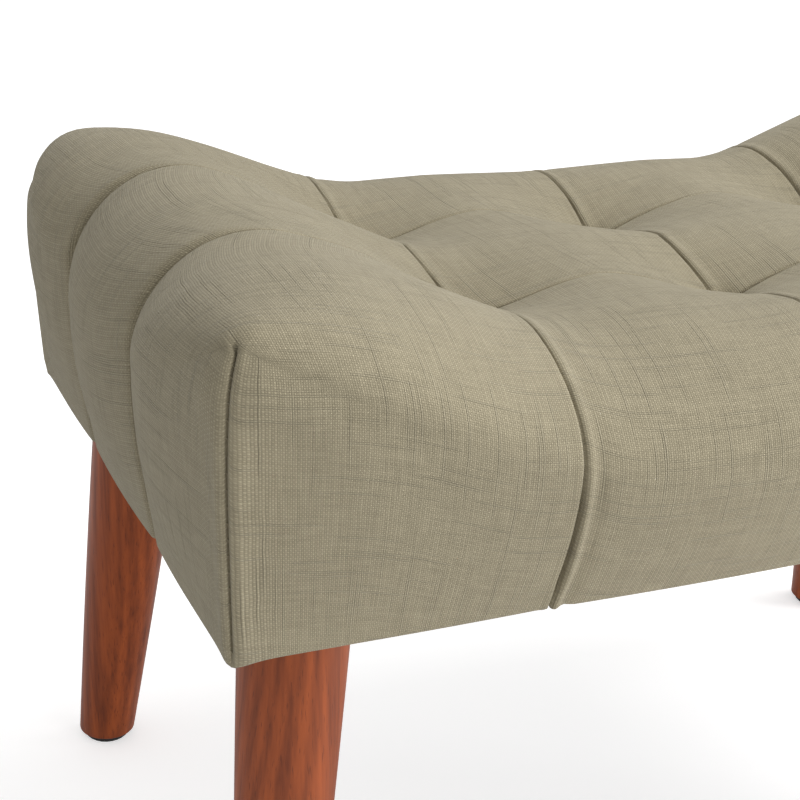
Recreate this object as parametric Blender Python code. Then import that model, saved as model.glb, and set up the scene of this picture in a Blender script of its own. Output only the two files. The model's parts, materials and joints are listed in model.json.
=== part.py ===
"""A saddle-shaped tufted pouf: fabric cover over foam on a timber frame, on four splayed turned legs.

Metres, +Z up. The origin is on the floor under the middle of the seat, +X runs along the seat
and the front faces -Y.
"""

from math import asin, atan2, cos, exp, hypot, pi, radians, sin, sqrt, tan

import bpy
import bmesh
from mathutils import Vector

# Seat, measured at the upholstery's bottom edge
SEAT_LENGTH = 0.708
SEAT_DEPTH = 0.420
BASE_HEIGHT = 0.290
SECTIONS_LONG = 4
SECTIONS_DEEP = 3

# Heights of the upholstery above its bottom edge
SEAT_DIP = 0.123
SADDLE_RISE = 0.055
SADDLE_RUN = 0.180
CREST_INSET = 0.027
FRONT_FACE = 0.068
END_FACE = 0.104
CORNER_SEAM = 0.155

# Rounding and swelling of the upholstery
FRONT_SHOULDER = 0.077
END_SHOULDER = 0.080
FRONT_BULGE = 0.007
END_BULGE = 0.013
CORNER_BULGE = 0.003
PILLOW_HEIGHT = 0.020
FRONT_PILLOW = 0.010
END_PILLOW = 0.012
CREST_FLATTENING = 0.7
PLEAT_FLANK = 0.017
PLEAT_DRAW = 0.004
TUFT_DEPTH = 0.012
TUFT_RADIUS = 0.040

# Cloth and foam
COVER_THICKNESS = 0.0020
HEM_WIDTH = 0.030
DUST_THICKNESS = 0.0008
DUST_OVERLAP = 0.014
FOAM_SIDE = 0.014

# Timber frame
RAIL_THICKNESS = 0.020
RAIL_HEIGHT = 0.056
DECK_THICKNESS = 0.009
BLOCK_WIDTH = 0.072
BLOCK_CHAMFER = 0.026
BLOCK_HEADROOM = 0.016
BATTEN_WIDTH = 0.032
BATTEN_HEIGHT = 0.034
TIMBER_EDGE = 0.0015

# Legs
LEG_TOP_DIAMETER = 0.062
LEG_FOOT_DIAMETER = 0.040
LEG_SWELL = 0.0008
LEG_EDGE = 0.0015
LEG_CORNER_INSET = 0.0175
LEG_SPLAY_LONG = radians(4.5)
LEG_SPLAY_DEEP = radians(6.5)

# Leg hardware
BOLT_DIAMETER = 0.008
BOLT_IN_LEG = 0.040
BOLT_PROUD = 0.003
BOLT_POINT = 0.008
TEE_FLANGE_DIAMETER = 0.022
TEE_FLANGE = 0.0015
TEE_BARREL_WALL = 0.0014
TEE_BARREL = 0.009
GLIDE_HEIGHT = 0.005
GLIDE_INSET = 0.004
GLIDE_PIN_DIAMETER = 0.005
GLIDE_PIN = 0.014

# Tufting ties
TIE_DIAMETER = 0.004
TIE_WASHER_DIAMETER = 0.024
TIE_WASHER = 0.003
TIE_KNOT_DIAMETER = 0.009

# Fits and facets
GAP = 0.0003
LEG_SIDES = 24
LEG_STEPS = 6
LEG_SHADING = radians(40)
HARDWARE_SIDES = 12
FACE_ROWS = 3
END_ARC_STEPS = 4
FRONT_ARC_STEPS = 3
LEAST_STATION = 0.012
FOLD_SHARPNESS = 0.7
CORNER_FULLNESS = 0.6
TUFT_SHARPNESS = 1.3
FACE_RISE_LONG = 2.5
FACE_RISE_DEEP = 2.0
BULGE_FADE = 4

HALF_LENGTH = SEAT_LENGTH / 2
HALF_DEPTH = SEAT_DEPTH / 2
SECTION_LONG = SEAT_LENGTH / SECTIONS_LONG
SECTION_DEEP = SEAT_DEPTH / SECTIONS_DEEP
LINING = COVER_THICKNESS + GAP
FRAME_X = HALF_LENGTH - LINING - FOAM_SIDE - GAP
FRAME_Y = HALF_DEPTH - LINING - FOAM_SIDE - GAP
FRAME_BOTTOM = BASE_HEIGHT + LINING
RAIL_TOP = FRAME_BOTTOM + RAIL_HEIGHT
DECK_BOTTOM = RAIL_TOP + GAP
DECK_TOP = DECK_BOTTOM + DECK_THICKNESS
BLOCK_HEIGHT = RAIL_HEIGHT - BLOCK_HEADROOM
DUST_TOP = BASE_HEIGHT - GAP
LEG_TOP = DUST_TOP - DUST_THICKNESS - GAP
LEG_BOTTOM = GLIDE_HEIGHT + GAP
LEG_X = FRAME_X - RAIL_THICKNESS - LEG_CORNER_INSET
LEG_Y = FRAME_Y - RAIL_THICKNESS - LEG_CORNER_INSET
TEE_BORE = BOLT_DIAMETER + 2 * GAP
TEE_BARREL_DIAMETER = TEE_BORE + 2 * TEE_BARREL_WALL
FOAM_JOINT_X = HALF_LENGTH - END_SHOULDER
CORNERS = [
    ("front_left", -1, -1),
    ("front_right", 1, -1),
    ("back_left", -1, 1),
    ("back_right", 1, 1),
]


def clear_scene():
    for item in list(bpy.data.objects):
        bpy.data.objects.remove(item, do_unlink=True)


def make_material(name, colour, roughness, metallic=0.0):
    material = bpy.data.materials.new(name)
    material.use_nodes = True
    shader = material.node_tree.nodes["Principled BSDF"]
    shader.inputs["Base Color"].default_value = (*colour, 1.0)
    shader.inputs["Roughness"].default_value = roughness
    shader.inputs["Metallic"].default_value = metallic
    return material


def make_mesh(name, points, faces):
    """A closed mesh from points and faces, with its faces turned outwards."""
    shape = bmesh.new()
    corners = [shape.verts.new(point) for point in points]
    for face in faces:
        shape.faces.new([corners[index] for index in face])
    bmesh.ops.recalc_face_normals(shape, faces=shape.faces)
    mesh = bpy.data.meshes.new(name)
    shape.to_mesh(mesh)
    shape.free()
    return mesh


def place(name, mesh, material, location=(0, 0, 0), smooth_angle=None):
    """One named sub-part under the pouf's root empty."""
    part = bpy.data.objects.new(name, mesh)
    part.location = location
    part.parent = root
    if not mesh.materials:
        mesh.materials.append(material)
    if smooth_angle:
        mesh.shade_smooth()
        mesh.set_sharp_from_angle(angle=smooth_angle)
    bpy.context.scene.collection.objects.link(part)
    return part


def cut(part, cutter):
    """Takes the cutter's solid out of a sub-part and keeps the cutter as a hidden guide."""
    cutter.hide_render = True
    cutter.display_type = "WIRE"
    boolean = part.modifiers.new("cut_" + cutter.name, "BOOLEAN")
    boolean.operation = "DIFFERENCE"
    boolean.solver = "EXACT"
    boolean.object = cutter


def box_mesh(name, size, edge=0.0):
    """A box round the origin, with its edges eased by a small chamfer."""
    shape = bmesh.new()
    bmesh.ops.create_cube(shape, size=1.0)
    bmesh.ops.scale(shape, vec=size, verts=shape.verts)
    if edge:
        bmesh.ops.bevel(shape, geom=shape.edges, offset=edge, segments=1, affect="EDGES")
    mesh = bpy.data.meshes.new(name)
    shape.to_mesh(mesh)
    shape.free()
    return mesh


def loft_faces(rings, closed):
    """Faces through rings of equal length: capped at both ends, or joined end to start."""
    count = len(rings[0])
    spans = len(rings) if closed else len(rings) - 1
    faces = []
    for span in range(spans):
        near = span * count
        far = (span + 1) % len(rings) * count
        for side in range(count):
            after = (side + 1) % count
            faces.append((near + side, near + after, far + after, far + side))
    if not closed:
        faces.append(tuple(range(count)))
        last = (len(rings) - 1) * count
        faces.append(tuple(range(last, last + count)))
    return faces


def loft_mesh(name, rings, closed=False):
    points = [point for ring in rings for point in ring]
    return make_mesh(name, points, loft_faces(rings, closed))


def circle(radius, height, sides, centre=(0, 0)):
    turn = 2 * pi / sides
    return [
        (centre[0] + radius * cos(turn * k), centre[1] + radius * sin(turn * k), height)
        for k in range(sides)
    ]


def turned_mesh(name, profile, closed=False, sides=HARDWARE_SIDES):
    """A turned piece from (radius, height) points; a closed profile leaves a bore."""
    return loft_mesh(name, [circle(radius, height, sides) for radius, height in profile], closed)


def smooth_step(value):
    value = min(max(value, 0.0), 1.0)
    return value * value * (3 - 2 * value)


def sign(value):
    return (value > 0) - (value < 0)


# Upholstered surface


def shoulder_angle(position, half, shoulder):
    """0 on the flat of the seat, a right angle where the surface has turned down into a face."""
    return asin(min(max((abs(position) - half + shoulder) / shoulder, 0.0), 1.0))


def seat_height(x):
    """The saddle: low in the middle, raised towards both ends."""
    start = HALF_LENGTH - CREST_INSET - SADDLE_RUN
    return SEAT_DIP + SADDLE_RISE * smooth_step((abs(x) - start) / SADDLE_RUN)


def pillow_share(sections, count, on_face):
    """0 on a pleat line and 1 in the middle of a section; a face is drawn in at its corner seam."""
    wave = abs(sin(pi * sections))
    if 0.5 < sections < count - 0.5:
        return wave**FOLD_SHARPNESS
    return 1 - (1 - wave**CORNER_FULLNESS) * on_face


def tuft_pull(along, across):
    """1 at a tuft, fading round it."""
    column = min(max(round(along), 1), SECTIONS_LONG - 1)
    row = min(max(round(across), 1), SECTIONS_DEEP - 1)
    away = hypot((along - column) * SECTION_LONG, (across - row) * SECTION_DEEP)
    return exp(-((away / TUFT_RADIUS) ** TUFT_SHARPNESS))


def upholstery_point(x, y, inset):
    """The point of the upholstery over (x, y), set in from the cover's outside by inset.

    Returns the point and its outward direction. The seat swells into pillows between the pleat
    lines, sinks at the tufts and turns down over elliptical shoulders into the four faces.
    """
    end_turn = shoulder_angle(x, HALF_LENGTH, END_SHOULDER)
    front_turn = shoulder_angle(y, HALF_DEPTH, FRONT_SHOULDER)
    to_end = sin(end_turn)
    to_front = sin(front_turn)
    toward_corner_x = (abs(x) / HALF_LENGTH) ** FACE_RISE_LONG
    toward_corner_y = (abs(y) / HALF_DEPTH) ** FACE_RISE_DEEP

    crest = seat_height(HALF_LENGTH)
    corner_fall = (crest - CORNER_SEAM) / 2
    front_top = FRONT_FACE + (CORNER_SEAM - FRONT_FACE) * toward_corner_x
    end_top = END_FACE + (CORNER_SEAM - END_FACE) * toward_corner_y
    height = seat_height(x)
    front_fall = height - front_top - corner_fall * toward_corner_x
    end_fall = crest - end_top - corner_fall * toward_corner_y
    height -= front_fall * (1 - cos(front_turn)) + end_fall * (1 - cos(end_turn))

    end_fade = (y / HALF_DEPTH) ** BULGE_FADE
    end_bulge = to_end * (END_BULGE + (CORNER_BULGE - END_BULGE) * end_fade)
    front_fade = (x / HALF_LENGTH) ** BULGE_FADE
    front_bulge = to_front * (FRONT_BULGE + (CORNER_BULGE - FRONT_BULGE) * front_fade)

    along = (x + HALF_LENGTH) / SECTION_LONG
    across = (y + HALF_DEPTH) / SECTION_DEEP
    outer_start = HALF_LENGTH - SECTION_LONG
    crest_share = smooth_step((abs(x) - outer_start) / (SECTION_LONG - CREST_INSET))
    pillow = PILLOW_HEIGHT / 2 * (1 - CREST_FLATTENING * crest_share)
    seat_to_front = to_front**2
    seat_to_end = to_end**2
    long_pillow = pillow * (1 - seat_to_front) + FRONT_PILLOW * seat_to_front
    deep_pillow = pillow * (1 - seat_to_end) + END_PILLOW * seat_to_end
    lift = long_pillow * pillow_share(along, SECTIONS_LONG, seat_to_front) * (1 - seat_to_end)
    lift += deep_pillow * pillow_share(across, SECTIONS_DEEP, seat_to_end) * (1 - seat_to_front)
    lift -= TUFT_DEPTH * tuft_pull(along, across)

    outward = Vector((
        sign(x) * seat_to_end,
        sign(y) * seat_to_front,
        cos(end_turn) * cos(front_turn),
    ))
    base = Vector((x + sign(x) * end_bulge, y + sign(y) * front_bulge, height))
    return base + outward * (lift - inset), outward


def face_column(x, y, inset, bottom):
    """Points down a face, under the seat's rim point (x, y), to a height above the bottom edge."""
    rim, outward = upholstery_point(x, y, inset)
    along = pillow_share((x + HALF_LENGTH) / SECTION_LONG, SECTIONS_LONG, 0.0)
    across = pillow_share((y + HALF_DEPTH) / SECTION_DEEP, SECTIONS_DEEP, 0.0)
    drawn_x = PLEAT_DRAW * (1 - across) if abs(x) == HALF_LENGTH else 0.0
    drawn_y = PLEAT_DRAW * (1 - along) if abs(y) == HALF_DEPTH else 0.0
    foot_x = x - sign(x) * drawn_x - outward.x * inset
    foot_y = y - sign(y) * drawn_y - outward.y * inset
    heights = [rim.z * (1 - row / FACE_ROWS) for row in range(1, FACE_ROWS)] + [bottom]
    points = []
    for height in heights:
        swell = sin(pi / 2 * height / rim.z)
        points.append(Vector((
            foot_x + (rim.x - foot_x) * swell,
            foot_y + (rim.y - foot_y) * swell,
            height,
        )))
    return points


def stations(half, sections, shoulder, arc_steps):
    """Places along one side where the surface has a row of points: pleats, shoulders, flanks."""
    section = 2 * half / sections
    pleats = [section * k - half for k in range(1, sections)]
    arc = [half - shoulder + shoulder * sin(pi / 2 * k / arc_steps) for k in range(arc_steps)]
    rims = [side * reach for reach in arc + [half] for side in (-1, 1)]
    flanks = [pleat + side * PLEAT_FLANK for pleat in pleats for side in (-1, 1)]
    middles = [section * (k + 0.5) - half for k in range(sections)]
    chosen = list(pleats)
    for candidate in rims:
        if all(abs(candidate - other) > GAP for other in chosen):
            chosen.append(candidate)
    for candidate in flanks + middles:
        if all(abs(candidate - other) > LEAST_STATION for other in chosen):
            chosen.append(candidate)
    return sorted(chosen)


ALONG = stations(HALF_LENGTH, SECTIONS_LONG, END_SHOULDER, END_ARC_STEPS)
ACROSS = stations(HALF_DEPTH, SECTIONS_DEEP, FRONT_SHOULDER, FRONT_ARC_STEPS)


def rim_loop(along, across):
    """The rim's (x, y) stations in order round the seat, starting at the front left corner."""
    front = [(x, across[0]) for x in along]
    right = [(along[-1], y) for y in across[1:]]
    back = [(x, across[-1]) for x in reversed(along[:-1])]
    left = [(along[0], y) for y in reversed(across[1:-1])]
    return front + right + back + left


class SkinBuilder:
    """Collects the points and faces of one upholstery solid."""

    def __init__(self):
        self.points = []
        self.faces = []

    def add(self, point):
        self.points.append((point[0], point[1], point[2] + BASE_HEIGHT))
        return len(self.points) - 1

    def split_quad(self, first, second, third, fourth, from_first):
        """Two triangles whose shared edge starts at the first corner, or else at the second."""
        if from_first:
            self.faces += [(first, second, third), (first, third, fourth)]
        else:
            self.faces += [(first, second, fourth), (second, third, fourth)]

    def band(self, upper, lower):
        """Flat quads between two closed rows of points."""
        count = len(upper)
        for k in range(count):
            after = (k + 1) % count
            self.faces.append((upper[k], upper[after], lower[after], lower[k]))

    def seat(self, along, across, inset):
        """The top of the upholstery as a grid; returns the index of each station."""
        index = {(x, y): self.add(upholstery_point(x, y, inset)[0]) for x in along for y in across}
        for x, next_x in zip(along, along[1:]):
            for y, next_y in zip(across, across[1:]):
                corners = [(x, y), (next_x, y), (next_x, next_y), (x, next_y)]
                outward = (x + next_x) * (y + next_y) > 0
                self.split_quad(*[index[corner] for corner in corners], outward)
        return index

    def skirt(self, rim, index, inset, bottom, closed=False):
        """The faces under the rim, as rows of points from the top row down to the bottom edge."""
        columns = [face_column(x, y, inset, bottom) for x, y in rim]
        reach = [abs(x) + abs(y) for x, y in rim]
        rows = [[index[station] for station in rim]]
        for level in range(FACE_ROWS):
            above = rows[-1]
            below = [self.add(column[level]) for column in columns]
            for k in range(len(rim) if closed else len(rim) - 1):
                after = (k + 1) % len(rim)
                inner_first = reach[k] < reach[after]
                self.split_quad(above[k], above[after], below[after], below[k], inner_first)
            rows.append(below)
        return rows


def fabric_cover():
    """One sewn cloth, open below, with its hem turned in under the rails."""
    skin = SkinBuilder()
    rim = rim_loop(ALONG, ACROSS)
    outer = skin.seat(ALONG, ACROSS, 0.0)
    outer_edge = skin.skirt(rim, outer, 0.0, 0.0, closed=True)[-1]
    inner = skin.seat(ALONG, ACROSS, COVER_THICKNESS)
    inner_edge = skin.skirt(rim, inner, COVER_THICKNESS, COVER_THICKNESS, closed=True)[-1]
    narrow_x = 1 - HEM_WIDTH / HALF_LENGTH
    narrow_y = 1 - HEM_WIDTH / HALF_DEPTH
    hem_below = [skin.add((x * narrow_x, y * narrow_y, 0.0)) for x, y in rim]
    hem_above = [skin.add((x * narrow_x, y * narrow_y, COVER_THICKNESS)) for x, y in rim]
    skin.band(outer_edge, hem_below)
    skin.band(hem_below, hem_above)
    skin.band(hem_above, inner_edge)
    place("fabric_cover", make_mesh("fabric_cover", skin.points, skin.faces), linen)


def recess_profile(skin, x):
    """Corners of the foam's hollow over the frame, from front to back, at one station."""
    side = FRAME_Y + GAP
    roof = DECK_TOP + GAP - BASE_HEIGHT
    corners = [(-side, LINING), (-side, roof), (side, roof), (side, LINING)]
    return [skin.add((x, y, height)) for y, height in corners]


def joint_face(skin, index, joint, front_column, back_column, recess):
    """The flat end of a foam block: up the front, over the seat, down the back, round the recess."""
    over = [index[(joint, y)] for y in ACROSS]
    up = list(reversed(front_column))
    outline = up + over[1:-1] + list(back_column) + list(reversed(recess))
    skin.faces.append(tuple(outline))
    shift = -GAP / 2 if abs(joint) == max(abs(x) for x, _ in index) else GAP / 2
    for corner in outline:
        x, y, height = skin.points[corner]
        skin.points[corner] = (x + sign(joint) * shift, y, height)


def seat_foam(holes):
    """The slab between the raised ends, bored under each tuft."""
    skin = SkinBuilder()
    along = [x for x in ALONG if abs(x) <= FOAM_JOINT_X + GAP]
    index = skin.seat(along, ACROSS, LINING)
    front = skin.skirt([(x, ACROSS[0]) for x in along], index, LINING, LINING)
    back = skin.skirt([(x, ACROSS[-1]) for x in along], index, LINING, LINING)
    recesses = [recess_profile(skin, x) for x in (along[0], along[-1])]
    near, far = recesses
    for k in range(len(near) - 1):
        skin.faces.append((near[k], near[k + 1], far[k + 1], far[k]))
    skin.faces.append(tuple(front[-1] + [far[0], near[0]]))
    skin.faces.append(tuple(back[-1] + [far[3], near[3]]))
    for end, joint in ((0, along[0]), (-1, along[-1])):
        front_column = [row[end] for row in front]
        back_column = [row[end] for row in back]
        joint_face(skin, index, joint, front_column, back_column, recesses[end])
    part = place("seat_foam", make_mesh("seat_foam", skin.points, skin.faces), foam)
    for hole in holes:
        cut(part, hole)


def end_foam(name, side):
    """The raised block at one end, wrapped round the end of the frame."""
    skin = SkinBuilder()
    along = [x for x in ALONG if x * side >= FOAM_JOINT_X - GAP]
    index = skin.seat(along, ACROSS, LINING)
    outward = along if side > 0 else list(reversed(along))
    joint = outward[0]
    tip = outward[-1]
    rim = [(x, ACROSS[0]) for x in outward]
    rim += [(tip, y) for y in ACROSS[1:-1]]
    rim += [(x, ACROSS[-1]) for x in reversed(outward)]
    rows = skin.skirt(rim, index, LINING, LINING)
    near = recess_profile(skin, joint)
    far = recess_profile(skin, side * (FRAME_X + GAP))
    for k in range(len(near) - 1):
        skin.faces.append((near[k], near[k + 1], far[k + 1], far[k]))
    skin.faces.append(tuple(far))
    skin.faces.append(tuple(rows[-1] + [near[3], far[3], far[0], near[0]]))
    joint_face(skin, index, joint, [row[0] for row in rows], [row[-1] for row in rows], near)
    place(name, make_mesh(name, skin.points, skin.faces), foam)


def tie_holes():
    """Hidden guides that bore the foam and the deck under each tuft."""
    radius = TIE_DIAMETER / 2 + GAP
    low = DECK_BOTTOM - TIE_WASHER
    high = BASE_HEIGHT + SEAT_DIP + SADDLE_RISE
    mesh = turned_mesh("tie_hole", [(radius, low), (radius, high)])
    return [
        place("hole_" + name, mesh, steel, (x, y, 0))
        for name, x, y in tufts()
    ]


def tufts():
    """Each tuft's name and place, counted from the front left."""
    for row in range(1, SECTIONS_DEEP):
        for column in range(1, SECTIONS_LONG):
            name = f"{row}_{column}"
            yield name, column * SECTION_LONG - HALF_LENGTH, row * SECTION_DEEP - HALF_DEPTH


# Frame


def timber(name, size, centre):
    place(name, box_mesh(name, size, TIMBER_EDGE), pine, centre)


def frame():
    middle_z = FRAME_BOTTOM + RAIL_HEIGHT / 2
    for name, side in (("front", -1), ("back", 1)):
        size = (2 * FRAME_X, RAIL_THICKNESS, RAIL_HEIGHT)
        timber("rail_" + name, size, (0, side * (FRAME_Y - RAIL_THICKNESS / 2), middle_z))
    inner_depth = 2 * (FRAME_Y - RAIL_THICKNESS - GAP)
    for name, side in (("left", -1), ("right", 1)):
        size = (RAIL_THICKNESS, inner_depth, RAIL_HEIGHT)
        timber("rail_" + name, size, (side * (FRAME_X - RAIL_THICKNESS / 2), 0, middle_z))
    batten_z = RAIL_TOP - BATTEN_HEIGHT / 2
    for number in range(1, SECTIONS_LONG - 1):
        x = (number + 0.5) * SECTION_LONG - HALF_LENGTH
        timber(f"cross_batten_{number}", (BATTEN_WIDTH, inner_depth, BATTEN_HEIGHT), (x, 0, batten_z))


def seat_deck(holes):
    size = (2 * FRAME_X, 2 * FRAME_Y, DECK_THICKNESS)
    part = place("seat_deck", box_mesh("seat_deck", size), plywood, (0, 0, DECK_BOTTOM + DECK_THICKNESS / 2))
    for hole in holes:
        cut(part, hole)


def corner_block(name, side_x, side_y):
    """A block in the frame's corner with its free corner cut off, bored for the tee nut."""
    near_x = side_x * (FRAME_X - RAIL_THICKNESS - GAP)
    near_y = side_y * (FRAME_Y - RAIL_THICKNESS - GAP)
    far_x = near_x - side_x * BLOCK_WIDTH
    far_y = near_y - side_y * BLOCK_WIDTH
    outline = [
        (near_x, near_y),
        (far_x, near_y),
        (far_x, far_y + side_y * BLOCK_CHAMFER),
        (far_x + side_x * BLOCK_CHAMFER, far_y),
        (near_x, far_y),
    ]
    heights = (FRAME_BOTTOM, FRAME_BOTTOM + BLOCK_HEIGHT)
    rings = [[(x, y, height) for x, y in outline] for height in heights]
    part = place("corner_block_" + name, loft_mesh("corner_block", rings), pine)
    radius = TEE_BARREL_DIAMETER / 2 + GAP
    bore = [(radius, heights[0] - BLOCK_HEADROOM), (radius, heights[1] + BLOCK_HEADROOM)]
    at = (side_x * LEG_X, side_y * LEG_Y, 0)
    cut(part, place("bore_" + name, turned_mesh("bore", bore), steel, at))


# Legs and hardware


def leg_axis(side_x, side_y, height):
    """The leg's centre at a height: it splays outwards on the way down."""
    below = LEG_TOP - height
    x = side_x * (LEG_X + below * tan(LEG_SPLAY_LONG))
    y = side_y * (LEG_Y + below * tan(LEG_SPLAY_DEEP))
    return x, y


def leg_radius(height):
    """A taper with a slight swell in the middle."""
    share = (LEG_TOP - height) / (LEG_TOP - LEG_BOTTOM)
    straight = LEG_TOP_DIAMETER * (1 - share) + LEG_FOOT_DIAMETER * share
    return straight / 2 + LEG_SWELL * sin(pi * share)


def leg_ring(side_x, side_y, height, radius):
    """A level slice of the tilted leg, which is an ellipse stretched along the splay."""
    lean_x = side_x * tan(LEG_SPLAY_LONG)
    lean_y = side_y * tan(LEG_SPLAY_DEEP)
    stretch = sqrt(1 + lean_x**2 + lean_y**2)
    heading = atan2(lean_y, lean_x)
    centre_x, centre_y = leg_axis(side_x, side_y, height)
    ring = []
    for k in range(LEG_SIDES):
        angle = 2 * pi * k / LEG_SIDES
        lengthwise = radius * stretch * cos(angle - heading)
        crosswise = radius * sin(angle - heading)
        ring.append((
            centre_x + lengthwise * cos(heading) - crosswise * sin(heading),
            centre_y + lengthwise * sin(heading) + crosswise * cos(heading),
            height,
        ))
    return ring


def leg(name, side_x, side_y):
    """A turned leg, level at top and foot, bored for its bolt and its glide's pin."""
    top = leg_axis(side_x, side_y, LEG_TOP)
    foot = leg_axis(side_x, side_y, LEG_BOTTOM)
    bolt_bore = BOLT_DIAMETER / 2 + GAP
    pin_bore = GLIDE_PIN_DIAMETER / 2 + GAP
    rings = [
        circle(bolt_bore, LEG_TOP - BOLT_IN_LEG - GAP, LEG_SIDES, top),
        circle(bolt_bore, LEG_TOP, LEG_SIDES, top),
        leg_ring(side_x, side_y, LEG_TOP, leg_radius(LEG_TOP) - LEG_EDGE),
    ]
    start = LEG_TOP - LEG_EDGE
    length = LEG_TOP - LEG_BOTTOM - 2 * LEG_EDGE
    for step in range(LEG_STEPS + 1):
        height = start - length * step / LEG_STEPS
        rings.append(leg_ring(side_x, side_y, height, leg_radius(height)))
    rings += [
        leg_ring(side_x, side_y, LEG_BOTTOM, leg_radius(LEG_BOTTOM) - LEG_EDGE),
        circle(pin_bore, LEG_BOTTOM, LEG_SIDES, foot),
        circle(pin_bore, LEG_BOTTOM + GLIDE_PIN + GAP, LEG_SIDES, foot),
    ]
    place("leg_" + name, loft_mesh("leg", rings), stained_wood, smooth_angle=LEG_SHADING)


def leg_hardware():
    """Bolts, tee nuts and glides: one mesh of each, placed at every leg."""
    block_top = FRAME_BOTTOM + BLOCK_HEIGHT
    flange_low = block_top + GAP
    flange_top = flange_low + TEE_FLANGE
    tip = flange_top + BOLT_PROUD
    low = LEG_TOP - BOLT_IN_LEG
    shank = BOLT_DIAMETER / 2
    bolt = turned_mesh("leg_bolt", [
        (shank / 2, low),
        (shank, low + BOLT_POINT),
        (shank, tip - shank / 3),
        (shank * 2 / 3, tip),
    ])
    bore = TEE_BORE / 2
    barrel = TEE_BARREL_DIAMETER / 2
    tee_nut = turned_mesh("tee_nut", [
        (bore, flange_top),
        (TEE_FLANGE_DIAMETER / 2, flange_top),
        (TEE_FLANGE_DIAMETER / 2, flange_low),
        (barrel, flange_low),
        (barrel, block_top - TEE_BARREL),
        (bore, block_top - TEE_BARREL),
    ], closed=True)
    pad = LEG_FOOT_DIAMETER / 2 - GLIDE_INSET
    pin = GLIDE_PIN_DIAMETER / 2
    glide = turned_mesh("glide", [
        (pad - GLIDE_HEIGHT / 4, 0),
        (pad, GLIDE_HEIGHT / 4),
        (pad, GLIDE_HEIGHT),
        (pin, GLIDE_HEIGHT),
        (pin, GLIDE_HEIGHT + GLIDE_PIN - pin),
        (pin / 2, GLIDE_HEIGHT + GLIDE_PIN),
    ], sides=LEG_SIDES)
    for name, side_x, side_y in CORNERS:
        at_top = (side_x * LEG_X, side_y * LEG_Y, 0)
        at_foot = (*leg_axis(side_x, side_y, LEG_BOTTOM), 0)
        place("leg_bolt_" + name, bolt, steel, at_top)
        place("tee_nut_" + name, tee_nut, steel, at_top)
        place("glide_" + name, glide, black_plastic, at_foot)


def tuft_ties():
    """Each tuft's twine, from its blind stitch under the cover to a knot below the deck's washer."""
    radius = TIE_DIAMETER / 2
    knot = TIE_KNOT_DIAMETER / 2
    washer_top = DECK_BOTTOM - GAP
    washer_low = washer_top - TIE_WASHER
    washer = turned_mesh("tie_washer", [
        (radius + GAP, washer_top),
        (TIE_WASHER_DIAMETER / 2, washer_top),
        (TIE_WASHER_DIAMETER / 2, washer_low),
        (radius + GAP, washer_low),
    ], closed=True)
    knot_top = washer_low - GAP
    for name, x, y in tufts():
        stitch = BASE_HEIGHT + upholstery_point(x, y, LINING)[0].z
        twine = turned_mesh("tuft_tie", [
            (radius, stitch),
            (radius, knot_top),
            (knot, knot_top),
            (knot, knot_top - knot),
            (knot / 2, knot_top - 2 * knot),
        ])
        place("tuft_tie_" + name, twine, twine_cotton, (x, y, 0))
        place("tie_washer_" + name, washer, black_plastic, (x, y, 0))


def dust_cover():
    """A thin sheet under the frame that laps over the hem, pierced by the leg bolts."""
    half_x = HALF_LENGTH - HEM_WIDTH + DUST_OVERLAP
    half_y = HALF_DEPTH - HEM_WIDTH + DUST_OVERLAP
    mesh = box_mesh("dust_cover", (2 * half_x, 2 * half_y, DUST_THICKNESS))
    part = place("dust_cover", mesh, black_cloth, (0, 0, DUST_TOP - DUST_THICKNESS / 2))
    radius = BOLT_DIAMETER / 2 + GAP
    pierce = turned_mesh("pierce", [(radius, LEG_TOP - HEM_WIDTH), (radius, FRAME_BOTTOM)])
    for name, side_x, side_y in CORNERS:
        cut(part, place("pierce_" + name, pierce, steel, (side_x * LEG_X, side_y * LEG_Y, 0)))


clear_scene()
root = bpy.data.objects.new("pouf", None)
bpy.context.scene.collection.objects.link(root)

linen = make_material("linen_weave", (0.33, 0.29, 0.21), 0.9)
foam = make_material("foam", (0.80, 0.74, 0.56), 0.95)
pine = make_material("pine", (0.62, 0.43, 0.24), 0.7)
plywood = make_material("plywood", (0.55, 0.40, 0.24), 0.7)
stained_wood = make_material("stained_wood", (0.26, 0.075, 0.03), 0.35)
steel = make_material("zinc_steel", (0.60, 0.60, 0.58), 0.35, 1.0)
black_plastic = make_material("black_plastic", (0.02, 0.02, 0.02), 0.5)
black_cloth = make_material("dust_cloth", (0.03, 0.03, 0.03), 0.95)
twine_cotton = make_material("waxed_twine", (0.55, 0.50, 0.38), 0.8)

bores = tie_holes()
fabric_cover()
seat_foam(bores)
end_foam("end_foam_left", -1)
end_foam("end_foam_right", 1)
tuft_ties()
seat_deck(bores)
frame()
for corner in CORNERS:
    corner_block(*corner)
    leg(*corner)
leg_hardware()
dust_cover()
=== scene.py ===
"""The looks of a tufted saddle pouf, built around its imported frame.

The cover is one sewn linen cloth over foam: pillows between pleats, six blind tufts and a dart at
each corner. Four turned legs stand under it, and a stapled dust cover closes the frame from below.
"""

import json

import bpy
import numpy as np
from mathutils import Matrix, Vector


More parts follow.
